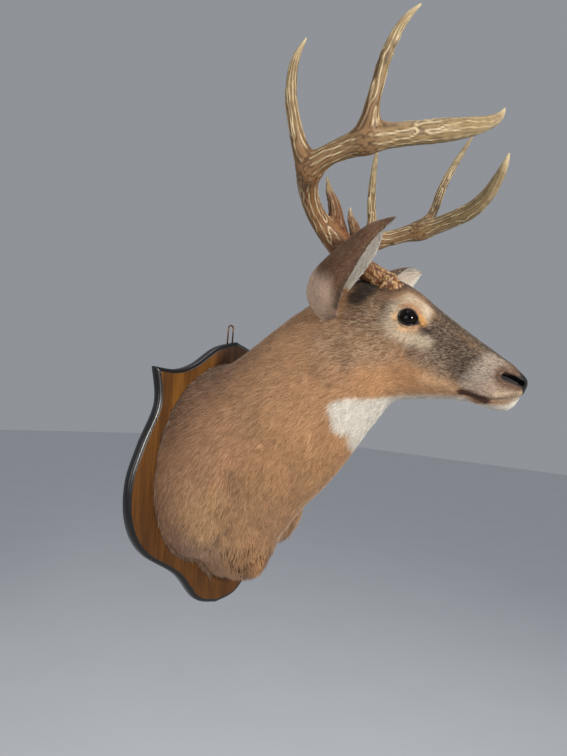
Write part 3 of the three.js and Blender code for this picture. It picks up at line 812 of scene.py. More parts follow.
def ear_markings(t, share, inside):
    """The colour of an ear along t, across it from the inner edge -1 to the outer edge 1."""
    colour = np.tile(EAR_BACK, (len(t), 1))
    pale_base = 1 - soft_step(t + 0.04 * np.cos(share * 5), 0.30, 0.42)
    colour = blend(colour, EAR_BASE, pale_base * (1 - 0.5 * soft_step(share, 0.65, 0.9)))
    colour = blend(colour, EAR_RIM, soft_step(t, 0.75, 0.97) * 0.8)
    colour = blend(colour, EAR_RIM, soft_step(np.abs(share), 0.82, 0.97) * (t > 0.3) * 0.7)
    inner = blend(np.tile(EAR_INSIDE, (len(t), 1)), WHITE, soft_step(np.abs(share), 0.3, 0.7) * 0.9)
    inner = blend(inner, EAR_RIM, soft_step(t, 0.9, 0.99) * 0.6)
    return blend(colour, inner, np.asarray(inside, float))


print(len(MARKS), "marks")

# %% Colour the skin
place = place_on_body(skin_points)
skin_colour, _ = markings(place)
layers, steps, across = ears["right"].shape[:3]
is_ear = ear_of_point >= 0
index = ear_of_point[is_ear] % (layers * steps * across)
inside, rest = np.divmod(index, steps * across)
along, over = np.divmod(rest, across)
skin_colour[is_ear] = ear_markings(along / (steps - 1), over / (across - 1) * 2 - 1, inside)
lid_edge = np.full(len(skin_points), 9.0)
for name, side in SIDES:
    forward, above, outward = eye_axes(side)
    from_eye = skin_points - EYES[name]
    share = opening_share(from_eye @ forward, from_eye @ above)
    close = (from_eye @ outward > 0) & (np.linalg.norm(from_eye, axis=1) < 30 * MM)
    lid_edge = np.where(close, share, lid_edge)
skin_colour = blend(skin_colour, LID_DARK, 1 - soft_step(lid_edge, LID_DARK_START, LID_DARK_END))
# Painted shade deep in the nostril, over its dark skin.
in_nostril = 1 - soft_step(nostril_distance(place), NOSTRIL_SHADE_START, NOSTRIL_SHADE_END)
skin_colour = blend(skin_colour, NOSTRIL_SKIN_AND_SHADE, in_nostril)
paint(skin, skin_colour)
print("coloured points", len(skin_colour))

# %% [markdown]
# ## Finishes with nodes
# Each finish starts from the colours kept in the mesh, and adds what is too fine to model: a little
# variation, and a bump.  A Principled shader holds it.  Numbers that are the same all over the surface are
# set on the shader itself, so that they survive an export.


# %% A finish made from the marking colours
def new_finish(name):
    """A material with its nodes, its links and its shader."""
    material = bpy.data.materials.new(name)
    material.use_nodes = True
    tree = material.node_tree
    return material, tree.nodes, tree.links, tree.nodes["Principled BSDF"]


def add_node(nodes, kind, **inputs):
    """A new node with some of its inputs set."""
    made = nodes.new("ShaderNode" + kind)
    for name, value in inputs.items():
        made.inputs[name.replace("_", " ")].default_value = value
    return made


def multiply(nodes, links, colour, shade):
    """A node that multiplies a colour by a shade; its colour comes out of output 2."""
    product = add_node(nodes, "Mix", Factor=1)
    product.data_type, product.blend_type = "RGBA", "MULTIPLY"
    links.new(colour, product.inputs[6])
    links.new(shade, product.inputs[7])
    return product.outputs[2]


def marked_finish(name, roughness, specular, sheen=0.0, grain=(400, 0.12), bump=0.0003):
    """A finish that takes its colour from the mesh; grain is the noise's scale and how far it shades."""
    material, nodes, links, shader = new_finish(name)
    shader.inputs["Roughness"].default_value = roughness
    shader.inputs["Specular IOR Level"].default_value = specular
    shader.inputs["Sheen Weight"].default_value = sheen
    shader.inputs["Sheen Roughness"].default_value = 0.5
    marking = nodes.new("ShaderNodeAttribute")
    marking.attribute_name = "marking"
    where = nodes.new("ShaderNodeTexCoord")
    noise = add_node(nodes, "TexNoise", Scale=grain[0], Detail=3)
    shade = add_node(nodes, "MapRange", To_Min=1 - grain[1], To_Max=1 + grain[1])
    lift = add_node(nodes, "Bump", Distance=bump, Strength=0.8)
    links.new(where.outputs["Object"], noise.inputs["Vector"])
    links.new(noise.outputs["Fac"], shade.inputs["Value"])
    varied = multiply(nodes, links, marking.outputs["Color"], shade.outputs["Result"])
    links.new(varied, shader.inputs["Base Color"])
    links.new(noise.outputs["Fac"], lift.inputs["Height"])
    links.new(lift.outputs["Normal"], shader.inputs["Normal"])
    return material


def fix(piece, slot, material, *replaced):
    """Rides a piece on the mount, with its finish and the solids that it stands for."""
    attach(piece, "root")
    piece.data.materials.clear()
    piece.data.materials.append(material)
    if replaced:
        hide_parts(*replaced)


skin_finish = marked_finish("skin_under_hair", 0.62, 0.35, grain=(900, 0.15), bump=0.0004)
hair_finish = marked_finish("hair", 0.6, 0.25, sheen=0.12, grain=(260, 0.10), bump=0.0)
fix(skin, "coat", skin_finish, "shoulders", "neck", "head", "ear_right", "ear_left")
print("finishes:", skin_finish.name, hair_finish.name)

# %% [markdown]
# ## The lie of the coat
# Hair starts at the nose and streams back over the face, down the neck and down the shoulders.  A few
# places are given with the way that the hair lies there, and every tuft takes a mean of them, weighted by
# how near they are, laid flat on the skin.

# %% Which way the hair lies
# place (ahead, out, height) in millimetres, then the lie (ahead, out, height)
LIE = [
    ((566, 0, 212), (-1, 0.2, 0.5)), ((556, 18, 222), (-1, 0.3, 0.2)),
    ((520, 30, 205), (-1, 0.2, 0.0)), ((530, 24, 180), (-0.9, 0.1, -0.45)),
    ((548, 8, 162), (-1, 0.1, -0.3)), ((490, 8, 268), (-1, 0.25, 0.55)),
    ((440, 44, 240), (-1, 0.2, -0.1)), ((424, 48, 262), (-0.9, 0.2, -0.5)),
    ((396, 60, 258), (-0.85, 0.1, -0.6)), ((428, 40, 306), (-0.85, 0.3, 0.6)),
    ((402, 46, 326), (-0.9, 0.5, 0.3)), ((364, 60, 292), (-1, 0.1, -0.05)),
    ((400, 0, 342), (-1, 0.0, 0.6)), ((350, 0, 370), (-1, 0.1, 0.1)),
    ((300, 0, 366), (-1, 0, -0.2)), ((378, 56, 232), (-1, 0.0, -0.3)),
    ((380, 48, 190), (-1, 0, -0.2)), ((330, 40, 158), (-0.85, 0, -0.5)),
    ((310, 62, 260), (-0.95, 0, -0.3)), ((308, 20, 116), (-0.55, 0.1, -0.8)),
    ((250, 76, 220), (-0.85, 0, -0.5)), ((225, 96, 120), (-0.7, 0, -0.7)),
    ((225, 0, 322), (-1, 0, -0.3)), ((250, 30, 40), (-0.45, 0.1, -0.9)),
    ((130, 140, 80), (-0.6, 0, -0.8)), ((80, 150, -80), (-0.45, -0.1, -0.9)),
    ((90, 60, 220), (-0.85, 0.1, -0.5)), ((180, 40, -60), (-0.3, 0, -0.95)),
    ((150, 10, -130), (-0.1, 0, -1)), ((60, 60, -180), (0.1, -0.1, -1)),
]
LIE_SOFTNESS = 6 * MM  # keeps any one place from ruling all the hair that is very near it
LIE_PLACES = np.array([place for place, _ in LIE]) * MM
LIE_WAYS = unit(np.array([way for _, way in LIE], float))


def lie_of_hair(place, normals):
    """The way that the hair runs at each place, flat on the skin, in X, Y, Z."""
    near = folded(place)
    total = np.zeros_like(near)
    for where, way in zip(LIE_PLACES, LIE_WAYS):
        gap = ((near - where) ** 2).sum(1) + LIE_SOFTNESS**2
        total += way * (1 / gap**2)[:, None]
    total[:, 1] *= np.sign(place[:, 1])
    way = body_direction(place, *unit(total).T)
    return unit(way - normals * (way * normals).sum(1, keepdims=True))


print("lie given at", len(LIE), "places")

# %% [markdown]
# ## The coat as thin solid tufts
# Particle hair would look right here but is lost on export, so each tuft is a thin closed spike of four
# triangles: two corners on the skin, a raised ridge and a tip.  Its shading follows the skin under it, which
# is what makes many hard little spikes look like a soft coat.  Tufts are planted evenly by area, but closer
# and smaller on the face.  A small patch of a bake map at its root's place keeps each tuft's own colour.

# %% Shades that differ from tuft to tuft
CELL_COUNT = 65536  # a power of two
CELL_MIX = (73856093, 19349663, 83492791)  # large primes, one for each axis, that scatter the cells
CELL_SHADES = rng.random(CELL_COUNT)
TUFT_CELL, CLUMP_CELL, BROAD_CELL = 1.6 * MM, 6 * MM, 22 * MM


def cell_shade(points, size):
    """One random number for all that stands in the same small cube."""
    x, y, z = np.floor(points / size).astype(np.int64).T
    return CELL_SHADES[(x * CELL_MIX[0] ^ y * CELL_MIX[1] ^ z * CELL_MIX[2]) & (CELL_COUNT - 1)]


def cell_noise(points, size):
    """Smooth noise from 0 to 1: the shades of the eight corners round each point, blended."""
    low = np.floor(points / size)
    share = points / size - low
    share = share * share * (3 - 2 * share)
    total = np.zeros(len(points))
    for corner in np.ndindex(2, 2, 2):
        weight = np.prod(np.where(corner, share, 1 - share), axis=1)
        total += weight * cell_shade((low + corner + 0.5) * size, size)
    return total


def speckled(colour, grizzle, points, spread=0.36):
    """Gives tufts their own shades: a little everywhere, and pale and dark tips where it is grizzled."""
    shade = 0.55 * cell_shade(points, TUFT_CELL) + 0.45 * rng.random(len(points))
    clump = cell_noise(points, CLUMP_CELL)
    broad = cell_noise(points, BROAD_CELL)
    tone = 1 + spread * (2 * shade - 1) + 0.22 * (clump - 0.5) + 0.14 * (broad - 0.5)
    colour = colour * tone[:, None]
    colour = blend(colour, GRIZZLE_PALE, 0.85 * grizzle * soft_step(shade, 0.56, 0.72))
    return blend(colour, GRIZZLE_DARK, 0.78 * grizzle * (1 - soft_step(shade, 0.3, 0.46)))


print("random shades for", CELL_COUNT, "cells")

# %% Build the tufts
SPIKE = np.array([[0, 2, 1], [0, 1, 3], [1, 2, 3], [2, 0, 3]])  # corners: two at the root, ridge, tip
# Darker roots are painted shade between the tufts, and brighter tips a painted highlight.
SPIKE_SHADE_AND_HIGHLIGHT = [0.45, 0.45, 0.92, 1.3]  # each corner's share of the tuft's colour
PATCH = 0.0015  # half of a tuft's patch in the bake map
PATCH_EDGE = 0.01  # how much of the bake map's edge stays empty
MOST_TUFTS = 49000  # in one piece
TUFT_SHARE = 1.0


def bake_patches(piece, unwrap, corners, faces):
    """Gives each tuft its own patch of the bake map, at its root's place on the skin's unwrap."""
    spot = PATCH_EDGE + (1 - 2 * PATCH_EDGE) * (unwrap - unwrap.min(0)) / np.ptp(unwrap, axis=0)
    patch = (spot[:, None] + np.array(corners) * PATCH).reshape(-1, 2)
    bake = piece.data.uv_layers.new(name="OFBake")
    bake.data.foreach_set("uv", patch[faces.ravel()].astype(np.float32).ravel())


def grow(name, roots, normals, lie, length, width, lift, colour, unwrap, lit=None, relief=0.8):
    """Joined tufts as one piece, or as several where there are too many for one; lit turns their shading."""
    lit = normals if lit is None else lit
    order = np.argsort(unwrap[:, 1], kind="stable")
    count = max(1, math.ceil(len(roots) / MOST_TUFTS))
    for k, part in enumerate(np.array_split(order, count)):
        root, normal, way = roots[part], normals[part], lie[part]
        side = np.cross(normal, way)
        long, wide, raise_ = length[part][:, None], width[part][:, None], lift[part][:, None]
        base = root - normal * 0.25 * wide
        ridge = root + normal * 0.45 * wide + way * 0.12 * long
        tip = root + (way * np.cos(raise_) + normal * np.sin(raise_)) * long
        points = np.stack([base - side * wide / 2, base + side * wide / 2, ridge, tip], 1).reshape(-1, 3)
        faces = (np.arange(len(part))[:, None, None] * 4 + SPIKE).reshape(-1, 3)
        piece = mesh_object(name if count == 1 else f"{name}_{k + 1}", points, faces)
        top = lit[part]
        left, right = unit(top - relief * side), unit(top + relief * side)
        shading = np.stack([left, right, top, unit(top + 0.3 * way)], 1)
        piece.data.normals_split_custom_set_from_vertices(shading.reshape(-1, 3))
        # Each corner's colour carries the painted shade at the root and the painted highlight at the tip.
        tone = colour[part][:, None] * np.array(SPIKE_SHADE_AND_HIGHLIGHT)[None, :, None]
        paint(piece, tone.reshape(-1, 3))
        bake_patches(piece, unwrap[part], [(-1, -1), (1, -1), (0, 0), (0, 1)], faces)
        fix(piece, "coat", hair_finish)
    print(name, len(roots), "tufts in", count, "pieces")


def plant(corners, corner_normals, weight, count):
    """Even random roots on triangles, and the skin's normal at each."""
    edge, other = corners[:, 1] - corners[:, 0], corners[:, 2] - corners[:, 0]
    area = np.linalg.norm(np.cross(edge, other), axis=1) / 2 * weight
    total = np.cumsum(area)
    pick = np.searchsorted(total, (np.arange(count) + rng.random(count)) / count * total[-1])
    pick = np.minimum(pick, len(corners) - 1)
    a, b = np.sqrt(rng.random(count)), rng.random(count)
    share = np.stack([1 - a, a * (1 - b), a * b], 1)[:, :, None]
    return (corners[pick] * share).sum(1), unit((corner_normals[pick] * share).sum(1))


BOARD_FACE = 18 * MM


def clear_of_board(place, way, length):
    """Shortens hair that would reach through the board."""
    towards_wall = np.maximum(way[:, 1], 1e-3)
    return np.minimum(length, np.maximum(place[:, 0] - BOARD_FACE, 2 * MM) / towards_wall)


# %% Plant the tufts on the skin
# how long, how wide (millimetres) and how close the hair is at each distance ahead (metres)
HAIR_AHEAD = [0.02, 0.10, 0.20, 0.28, 0.33, 0.38, 0.44, 0.50, 0.54, 0.574]
HAIR_LENGTH = [19, 19, 17, 15, 12, 8.5, 6.0, 4.6, 3.6, 2.6]
HAIR_WIDTH = [1.7, 1.6, 1.45, 1.3, 1.1, 0.85, 0.75, 0.7, 0.6, 0.5]
HAIR_CLOSE = [0.34, 0.36, 0.45, 0.65, 0.95, 1.3, 1.5, 1.6, 1.8, 2.0]
COAT_TUFTS = int(250000 * TUFT_SHARE)
HAIR_START = 0.0195  # just ahead of the board
BARE_LID = 1.16  # as a share of the eye's opening
BARE_NOSTRIL, BARE_NOSE = 6.9 * MM, 12.5 * MM
SWIRL_CELL = 14 * MM
BRISKET_AHEAD, BRISKET_REACH = 0.14, 0.06
MIDDLE_LINE = ([0, 0.1, 0.25, 0.57], [0, 0.04, 0.2, 0.2])  # ahead and height, for the unwrap

triangles = triangles_of(skin)
skin_normals = normals_of(skin)
middle = skin_points[triangles].mean(1)
middle_place = place_on_body(middle)
bare = is_ear[triangles].any(1) | (lid_edge[triangles].min(1) < BARE_LID)
bare |= nostril_distance(middle_place) < BARE_NOSTRIL
bare |= crease_distance(folded(middle_place), *NOSE_PAD) < BARE_NOSE
bare |= middle_place[:, 0] < HAIR_START
closeness = np.interp(middle_place[:, 0], HAIR_AHEAD, HAIR_CLOSE) * ~bare
roots, normals = plant(skin_points[triangles], skin_normals[triangles], closeness, COAT_TUFTS)
place = place_on_body(roots)
grown = 1 / math.sqrt(TUFT_SHARE)  # fewer tufts are wider ones
length = np.interp(place[:, 0], HAIR_AHEAD, HAIR_LENGTH) * MM * rng.uniform(0.7, 1.25, len(roots))
width = np.interp(place[:, 0], HAIR_AHEAD, HAIR_WIDTH) * MM * rng.uniform(0.75, 1.25, len(roots)) * grown
brisket = bell(place[:, 0] - BRISKET_AHEAD, BRISKET_REACH) * (1 - soft_step(place[:, 2], -0.15, -0.08))
length *= 1 + 0.7 * brisket
length[near_eyes(roots, 27 * MM)] *= 0.6
lie = lie_of_hair(place, normals)
swirl = rng.normal(0, 0.16, len(roots)) + 0.22 * (2 * cell_shade(roots, SWIRL_CELL) - 1)
swirl = swirl * np.interp(place[:, 0], [0.3, 0.5], [1, 0.8])
side = np.cross(normals, lie)
lie = lie * np.cos(swirl)[:, None] + side * np.sin(swirl)[:, None]
lift = rng.uniform(0.07, 0.24, len(roots)) + 0.08 * brisket
length = clear_of_board(place, lie, length)
colour, grizzle = markings(place)
colour = speckled(colour, grizzle, roots)
round_body = np.arctan2(place[:, 1], place[:, 2] - np.interp(place[:, 0], *MIDDLE_LINE))
grow("coat", roots, normals, lie, length, width, lift, colour, np.stack([round_body, place[:, 0]], 1))

# %% [markdown]
# ## Hair on the ears
# The back of the ear has short brown hair that runs from its base to its tip, and the cup is lined with
# white hair.  An ear is a plain grid of rows, so its tufts are planted on that grid, which also says at once
# which way is up the ear.

# %% Plant the ears' hair
EAR_BACK_TUFTS, EAR_CUP_TUFTS = int(17000 * TUFT_SHARE), int(11000 * TUFT_SHARE)


def ear_roots(leaf, face, count, first=0.1):
    """Even roots on one face of an ear: position, normal, way up the ear, and where on the grid."""
    grid = leaf[face]
    up_ear = unit(np.gradient(grid, axis=0))
    normal = unit(np.cross(np.gradient(grid, axis=0), np.gradient(grid, axis=1)))
    away = ((grid - leaf[1 - face]) * normal).sum(-1).mean()
    normal = normal * (1 if away > 0 else -1)
    steps, across = grid.shape[0] - 1, grid.shape[1] - 1
    up_step, side_step = np.diff(grid, axis=0)[:, :-1], np.diff(grid, axis=1)[:-1]
    area = np.linalg.norm(np.cross(up_step, side_step), axis=2)
    area[: int(first * steps)] = 0
    total = np.cumsum(area.ravel())
    cell = np.searchsorted(total, (np.arange(count) + rng.random(count)) / count * total[-1])
    row, column = np.divmod(np.minimum(cell, area.size - 1), across)
    a, b = rng.random((count, 1)), rng.random((count, 1))

    def mix(values):
        low = values[row, column] * (1 - b) + values[row, column + 1] * b
        high = values[row + 1, column] * (1 - b) + values[row + 1, column + 1] * b
        return low * (1 - a) + high * a

    t = (row + a[:, 0]) / steps
    over = (column + b[:, 0]) / across * 2 - 1
    return mix(grid), unit(mix(normal)), unit(mix(up_ear)), t, over


for name, side in SIDES:
    for face, count in ((0, EAR_BACK_TUFTS), (1, EAR_CUP_TUFTS)):
        roots, normals, way, t, over = ear_roots(ears[name], face, count)
        colour = ear_markings(t, over, np.full(len(t), face))
        colour = speckled(colour, np.full(len(t), 0.06 if face else 0.25), roots, 0.12 if face else 0.3)
        long = np.interp(t, [0.1, 0.4, 1], [8, 6.0, 3.6]) * MM * rng.uniform(0.7, 1.3, len(t))
        wide = np.full(len(t), 0.8 * MM) * grown
        raised = rng.uniform(0.08, 0.25, len(t))
        across_ear = unit(np.cross(normals, way)) * (1 if face else -1) * side
        if face:  # the cup's hair is longer at its edges, and lies closer
            long = long * (1.0 + 0.4 * soft_step(np.abs(over), 0.45, 0.85))
            raised = raised * 0.6
        spin = rng.normal(0, 0.2, len(t))[:, None]
        way = unit(way * np.cos(spin) + across_ear * np.sin(spin))
        part = "cup" if face else "back"
        lit = unit(normals + face * 1.2 * ear_faces[name])
        unwrap = np.stack([over, t], 1)
        relief = 0.3 if face else 0.7
        grow(f"coat_ear_{part}_{name}", roots, normals, way, long, wide, raised, colour, unwrap, lit, relief)

# %% [markdown]
# ## Long hair: ear fringe, crown and brisket
# Some hair is long enough to bend: the white fringe along each ear's inner edge, the dark hair that stands
# round the burrs, and the brisket's hair that hangs to a point.  A lock is like a tuft but has a bend in it,
# so it is built in three lengths that bend a little more at each joint.

# %% Locks with a bend
LOCK_SHARES = [0.0, 0.4, 0.75, 1.0]  # where the joints and the tip are
LOCK_CORNERS = 10  # three at the root and at each of two joints, and one at the tip
# Each lock corner's share of its colour: darker at the root as painted shade, lighter at the tip as painted
# highlight.
LOCK_SHADE_AND_HIGHLIGHT = [0.8] * 3 + [0.95] * 3 + [1.05] * 4
LOCK_FACES = [[0, 1, 2]]
for joint in (0, 3):
    for a, b in ((0, 1), (1, 2), (2, 0)):
        LOCK_FACES += [[joint + a, joint + b + 3, joint + b], [joint + a, joint + a + 3, joint + b + 3]]
LOCK_FACES = np.array(LOCK_FACES + [[6, 9, 7], [7, 9, 8], [8, 9, 6]])


def grow_locks(name, roots, normals, way, droop, length, width, colour, unwrap, lit=None):
    """Longer hair as one piece; droop is the direction that it bends towards along its length."""
    lit = normals if lit is None else lit
    side = unit(np.cross(normals, way))
    joints, tops = [], []
    place, heading = roots - normals * width[:, None] * 0.3, way
    last = 0.0
    for share in LOCK_SHARES:
        heading = unit(heading + droop * (share - last) * 1.4)
        place = place + heading * ((share - last) * length)[:, None]
        last = share
        over = unit(np.cross(heading, side))
        if share < 1:
            half = (width * (0.5 - 0.28 * share))[:, None]
            joints += [place - side * half, place + side * half, place - over * half * 0.35]
        tops += [over] * (3 if share < 1 else 1)
    points = np.stack([*joints, place], 1)
    faces = (np.arange(len(roots))[:, None, None] * LOCK_CORNERS + LOCK_FACES).reshape(-1, 3)
    piece = mesh_object(name, points.reshape(-1, 3), faces)
    across = np.array([-0.4, 0.4, 0] * 3 + [0])[None, :, None]
    shading = unit(0.6 * np.stack(tops, 1) + lit[:, None] + side[:, None] * across)
    piece.data.normals_split_custom_set_from_vertices(shading.reshape(-1, 3))
    # Painted shade at the root and painted highlight at the tip.
    tone = colour[:, None] * np.array(LOCK_SHADE_AND_HIGHLIGHT)[None, :, None]
    paint(piece, tone.reshape(-1, 3))
    bake_patches(piece, unwrap, [(-1, -1), (1, -1), (0, 0)] * 3 + [(0, 1)], faces)
    fix(piece, "coat", hair_finish)
    print(name, len(roots), "locks")


# %% The ears' white fringe
FRINGE_LOCKS = int(1500 * TUFT_SHARE)
for name, side in SIDES:
    leaf = ears[name]
    roots, normals, way, t, over = ear_roots(leaf, 1, FRINGE_LOCKS * 6, first=0.16)
    edge = (over < -0.55) & (t < 0.8)
    roots, normals, way, t, over = (x[edge] for x in (roots, normals, way, t, over))
    length = np.interp(t, [0.15, 0.5, 0.9], [20, 14, 8]) * MM * rng.uniform(0.6, 1.2, len(t))
    heading = unit(way + 0.3 * normals + rng.normal(0, 0.12, normals.shape))
    colour = speckled(np.tile(WHITE, (len(t), 1)), np.full(len(t), 0.05), roots, 0.12)
    width = np.full(len(t), 0.9 * MM) * grown
    lit = normals + 2 * ear_faces[name]
    grow_locks(f"ear_fringe_{name}", roots, normals, heading, -normals * 0.2, length, width, colour,
               np.stack([over, t], 1), lit)

# %% Dark hair round the burrs
CROWN_LOCKS, BRISKET_LOCKS = int(3200 * TUFT_SHARE), int(6400 * TUFT_SHARE)
DOWN = np.array([0, 0, -1.0])
TUFT_TIP = np.array([0, -157, -182]) * MM  # where the brisket's hair comes to a point
TIP_REACH = 34 * MM  # the hair this near to the tip runs all the way to it
BURR_PLACE = np.array([358, 34, 346]) * MM
CROWN_RING, CROWN_WIDTH, CROWN_BELOW = 27 * MM, 11 * MM, 0.318
LOCK_BROWN, TIP_BROWN = tint(130, 86, 58), tint(120, 78, 54)


def locks_where(weight, count):
    """Roots on the skin where the weight at each triangle allows them."""
    chosen = np.where(weight > 0.02)[0]
    corners = triangles[chosen]
    roots, normals = plant(skin_points[corners], skin_normals[corners], weight[chosen], count)
    place = place_on_body(roots)
    return roots, normals, place, lie_of_hair(place, normals)


near_middle = folded(middle_place)
from_burr = np.linalg.norm(near_middle - BURR_PLACE, axis=1)
crown = bell(from_burr - CROWN_RING, CROWN_WIDTH) * (near_middle[:, 2] > CROWN_BELOW)
roots, normals, place, lie = locks_where(crown, CROWN_LOCKS)
length = rng.uniform(9, 17, len(roots)) * MM
heading = unit(lie + 0.35 * normals + rng.normal(0, 0.12, normals.shape))
colour = speckled(markings(place)[0], np.full(len(roots), 0.12), roots, 0.2)
width = np.full(len(roots), 1.1 * MM) * grown
grow_locks("crown_hair", roots, normals, heading, -normals * 0.4, length, width, colour, place[:, :2])

# %% The brisket's hair
hang = (1 - soft_step(middle_place[:, 2], -0.165, -0.12)) * soft_step(middle_place[:, 0], 0.019, 0.03)
hang = hang * bell(middle_place[:, 1], 0.11)
roots, normals, place, lie = locks_where(hang, BRISKET_LOCKS)
longest = bell(place[:, 1], 0.05) * soft_step(place[:, 0], 0.08, 0.14)
length = (9 + 14 * longest) * MM * rng.uniform(0.6, 1.1, len(roots))
heading = unit(lie + 0.3 * DOWN + 0.02 * normals + rng.normal(0, 0.08, normals.shape))
to_tip = unit(TUFT_TIP - roots)
pull = 0.2 + 1.6 * soft_step(place[:, 0], 0.08, 0.13) * bell(place[:, 1], 0.06)
heading = unit(heading + to_tip * pull[:, None])
from_tip = np.linalg.norm(TUFT_TIP - roots, axis=1)
in_tip = from_tip < TIP_REACH
tip_locks = int(in_tip.sum())
heading[in_tip] = unit(to_tip[in_tip] + rng.normal(0, 0.07, (tip_locks, 3)))
length[in_tip] = from_tip[in_tip] * rng.uniform(0.75, 1.12, tip_locks)
into_skin = np.minimum((heading * normals).sum(1), 0)  # hair that would dive is laid along the skin
heading = unit(heading + normals * (0.06 - into_skin)[:, None])
length = clear_of_board(place, heading, length)
colour = markings(place)[0]
reddish = soft_step(rng.random(len(roots)), 0.35, 0.8) * bell(place[:, 1], 0.07)
colour = blend(colour, LOCK_BROWN, 0.45 * reddish * soft_step(place[:, 0], 0.11, 0.14))
colour = blend(colour, TIP_BROWN, 0.3 * in_tip * soft_step(rng.random(len(roots)), 0.2, 0.6))
colour = speckled(colour, np.full(len(roots), 0.1), roots, 0.15)
droop = np.tile(DOWN * 0.3, (len(roots), 1))
width = np.full(len(roots), 1.2 * MM) * grown
grow_locks("brisket_hair", roots, normals, heading, droop, length, width, colour, place[:, :2])

# %% [markdown]
# ## Glass eyes
# A taxidermist's eye is dark glass: a brown iris, so deep that it looks black, round a pupil that lies level
# like a slot.  A sphere with its colours by direction gives that, and the wet look is all in the shader,
# which has almost no roughness.  Painting an image of an eye would also do, but it would blur close up.

# %% Eyes
IRIS, IRIS_EDGE, PUPIL = tint(18, 11, 8), tint(8, 6, 5), tint(3, 3, 4)
PUPIL_LENGTH, PUPIL_HEIGHT = 0.52, 0.30  # as shares of the eye's radius
glass_finish = marked_finish("eye_glass", 0.04, 0.3, grain=(300, 0.05), bump=0.0)
glass_finish.node_tree.nodes["Principled BSDF"].inputs["IOR"].default_value = 1.38


def eyeball(name, side):
    """A glass ball in its socket, with iris and pupil coloured by direction."""
    ball = bmesh.new()
    bmesh.ops.create_uvsphere(ball, u_segments=56, v_segments=40, radius=EYE_RADIUS)
    forward, above, outward = eye_axes(side)
    spin = Matrix((forward, above, outward)).transposed()
    stand = Matrix.Translation(EYES[name]) @ spin.to_4x4()
    bmesh.ops.transform(ball, matrix=stand, verts=ball.verts)
    eye = object_of("glass_eye_" + name, ball)
    eye.data.shade_smooth()
    look = unit(points_of(eye) - EYES[name])
    across, over = look @ forward, look @ above
    pupil = 1 - soft_step(np.hypot(across / PUPIL_LENGTH, over / PUPIL_HEIGHT), 0.85, 1.05)
    rim = soft_step(np.hypot(across, over), 0.62, 0.85)
    colour = blend(np.tile(IRIS, (len(look), 1)), IRIS_EDGE, rim)
    paint(eye, blend(colour, PUPIL, pupil))
    fix(eye, "eye", glass_finish, "eye_" + name)
    print(eye.name, "at", EYES[name].round(3))


for name, side in SIDES:
    eyeball(name, side)

# %% [markdown]
# ## Lid rims and lashes
# A thin dark rim of bare skin, moist in life, edges the lids, and lashes stand on the upper one.  The rim
# is a round tube along the opening's outline.  The function that sweeps it also makes the antlers' branches
# and the hanging loop.

# %% Sweep a tube
def tube(path, radius, sides, closed=False):
    """Points and faces of a round tube along a path, with a radius at each point."""
    path = np.asarray(path)
    tangent = unit(np.roll(path, -1, 0) - np.roll(path, 1, 0)) if closed else unit(np.gradient(path, axis=0))
    normal = np.array([0.31, 0.17, 0.93])
    rings = []
    angle = np.arange(sides) / sides * 2 * math.pi
    for p, along, r in zip(path, tangent, np.broadcast_to(radius, len(path))):
        normal = unit(normal - along * (normal @ along))
        second = np.cross(along, normal)
        rings.append(p + r * (np.cos(angle)[:, None] * normal + np.sin(angle)[:, None] * second))
    count = len(path)
    k, i = np.meshgrid(np.arange(count if closed else count - 1), np.arange(sides), indexing="ij")
    a, b = (k * sides + i).ravel(), (k * sides + (i + 1) % sides).ravel()
    next_ring = ((k + 1) % count * sides).ravel()
    c, d = next_ring + (i.ravel() + 1) % sides, next_ring + i.ravel()
    faces = [np.stack([a, b, c], 1), np.stack([a, c, d], 1)]
    points = np.concatenate(rings)
    if not closed:
        points = np.concatenate([points, path[[0, -1]]])
        first, last_ring = np.arange(sides), (count - 1) * sides
        following = (first + 1) % sides
        start, end = (np.full(sides, len(points) - k) for k in (2, 1))
        faces.append(np.stack([start, following, first], 1))
        faces.append(np.stack([end, last_ring + first, last_ring + following], 1))
    faces = np.concatenate(faces)
    return points, outward_faces(points, faces)


test_points, test_faces = tube([[0, 0, 0], [0, 0, 1]], 0.1, 6)
print("a tube of 6 sides has", len(test_points), "points and", len(test_faces), "faces")

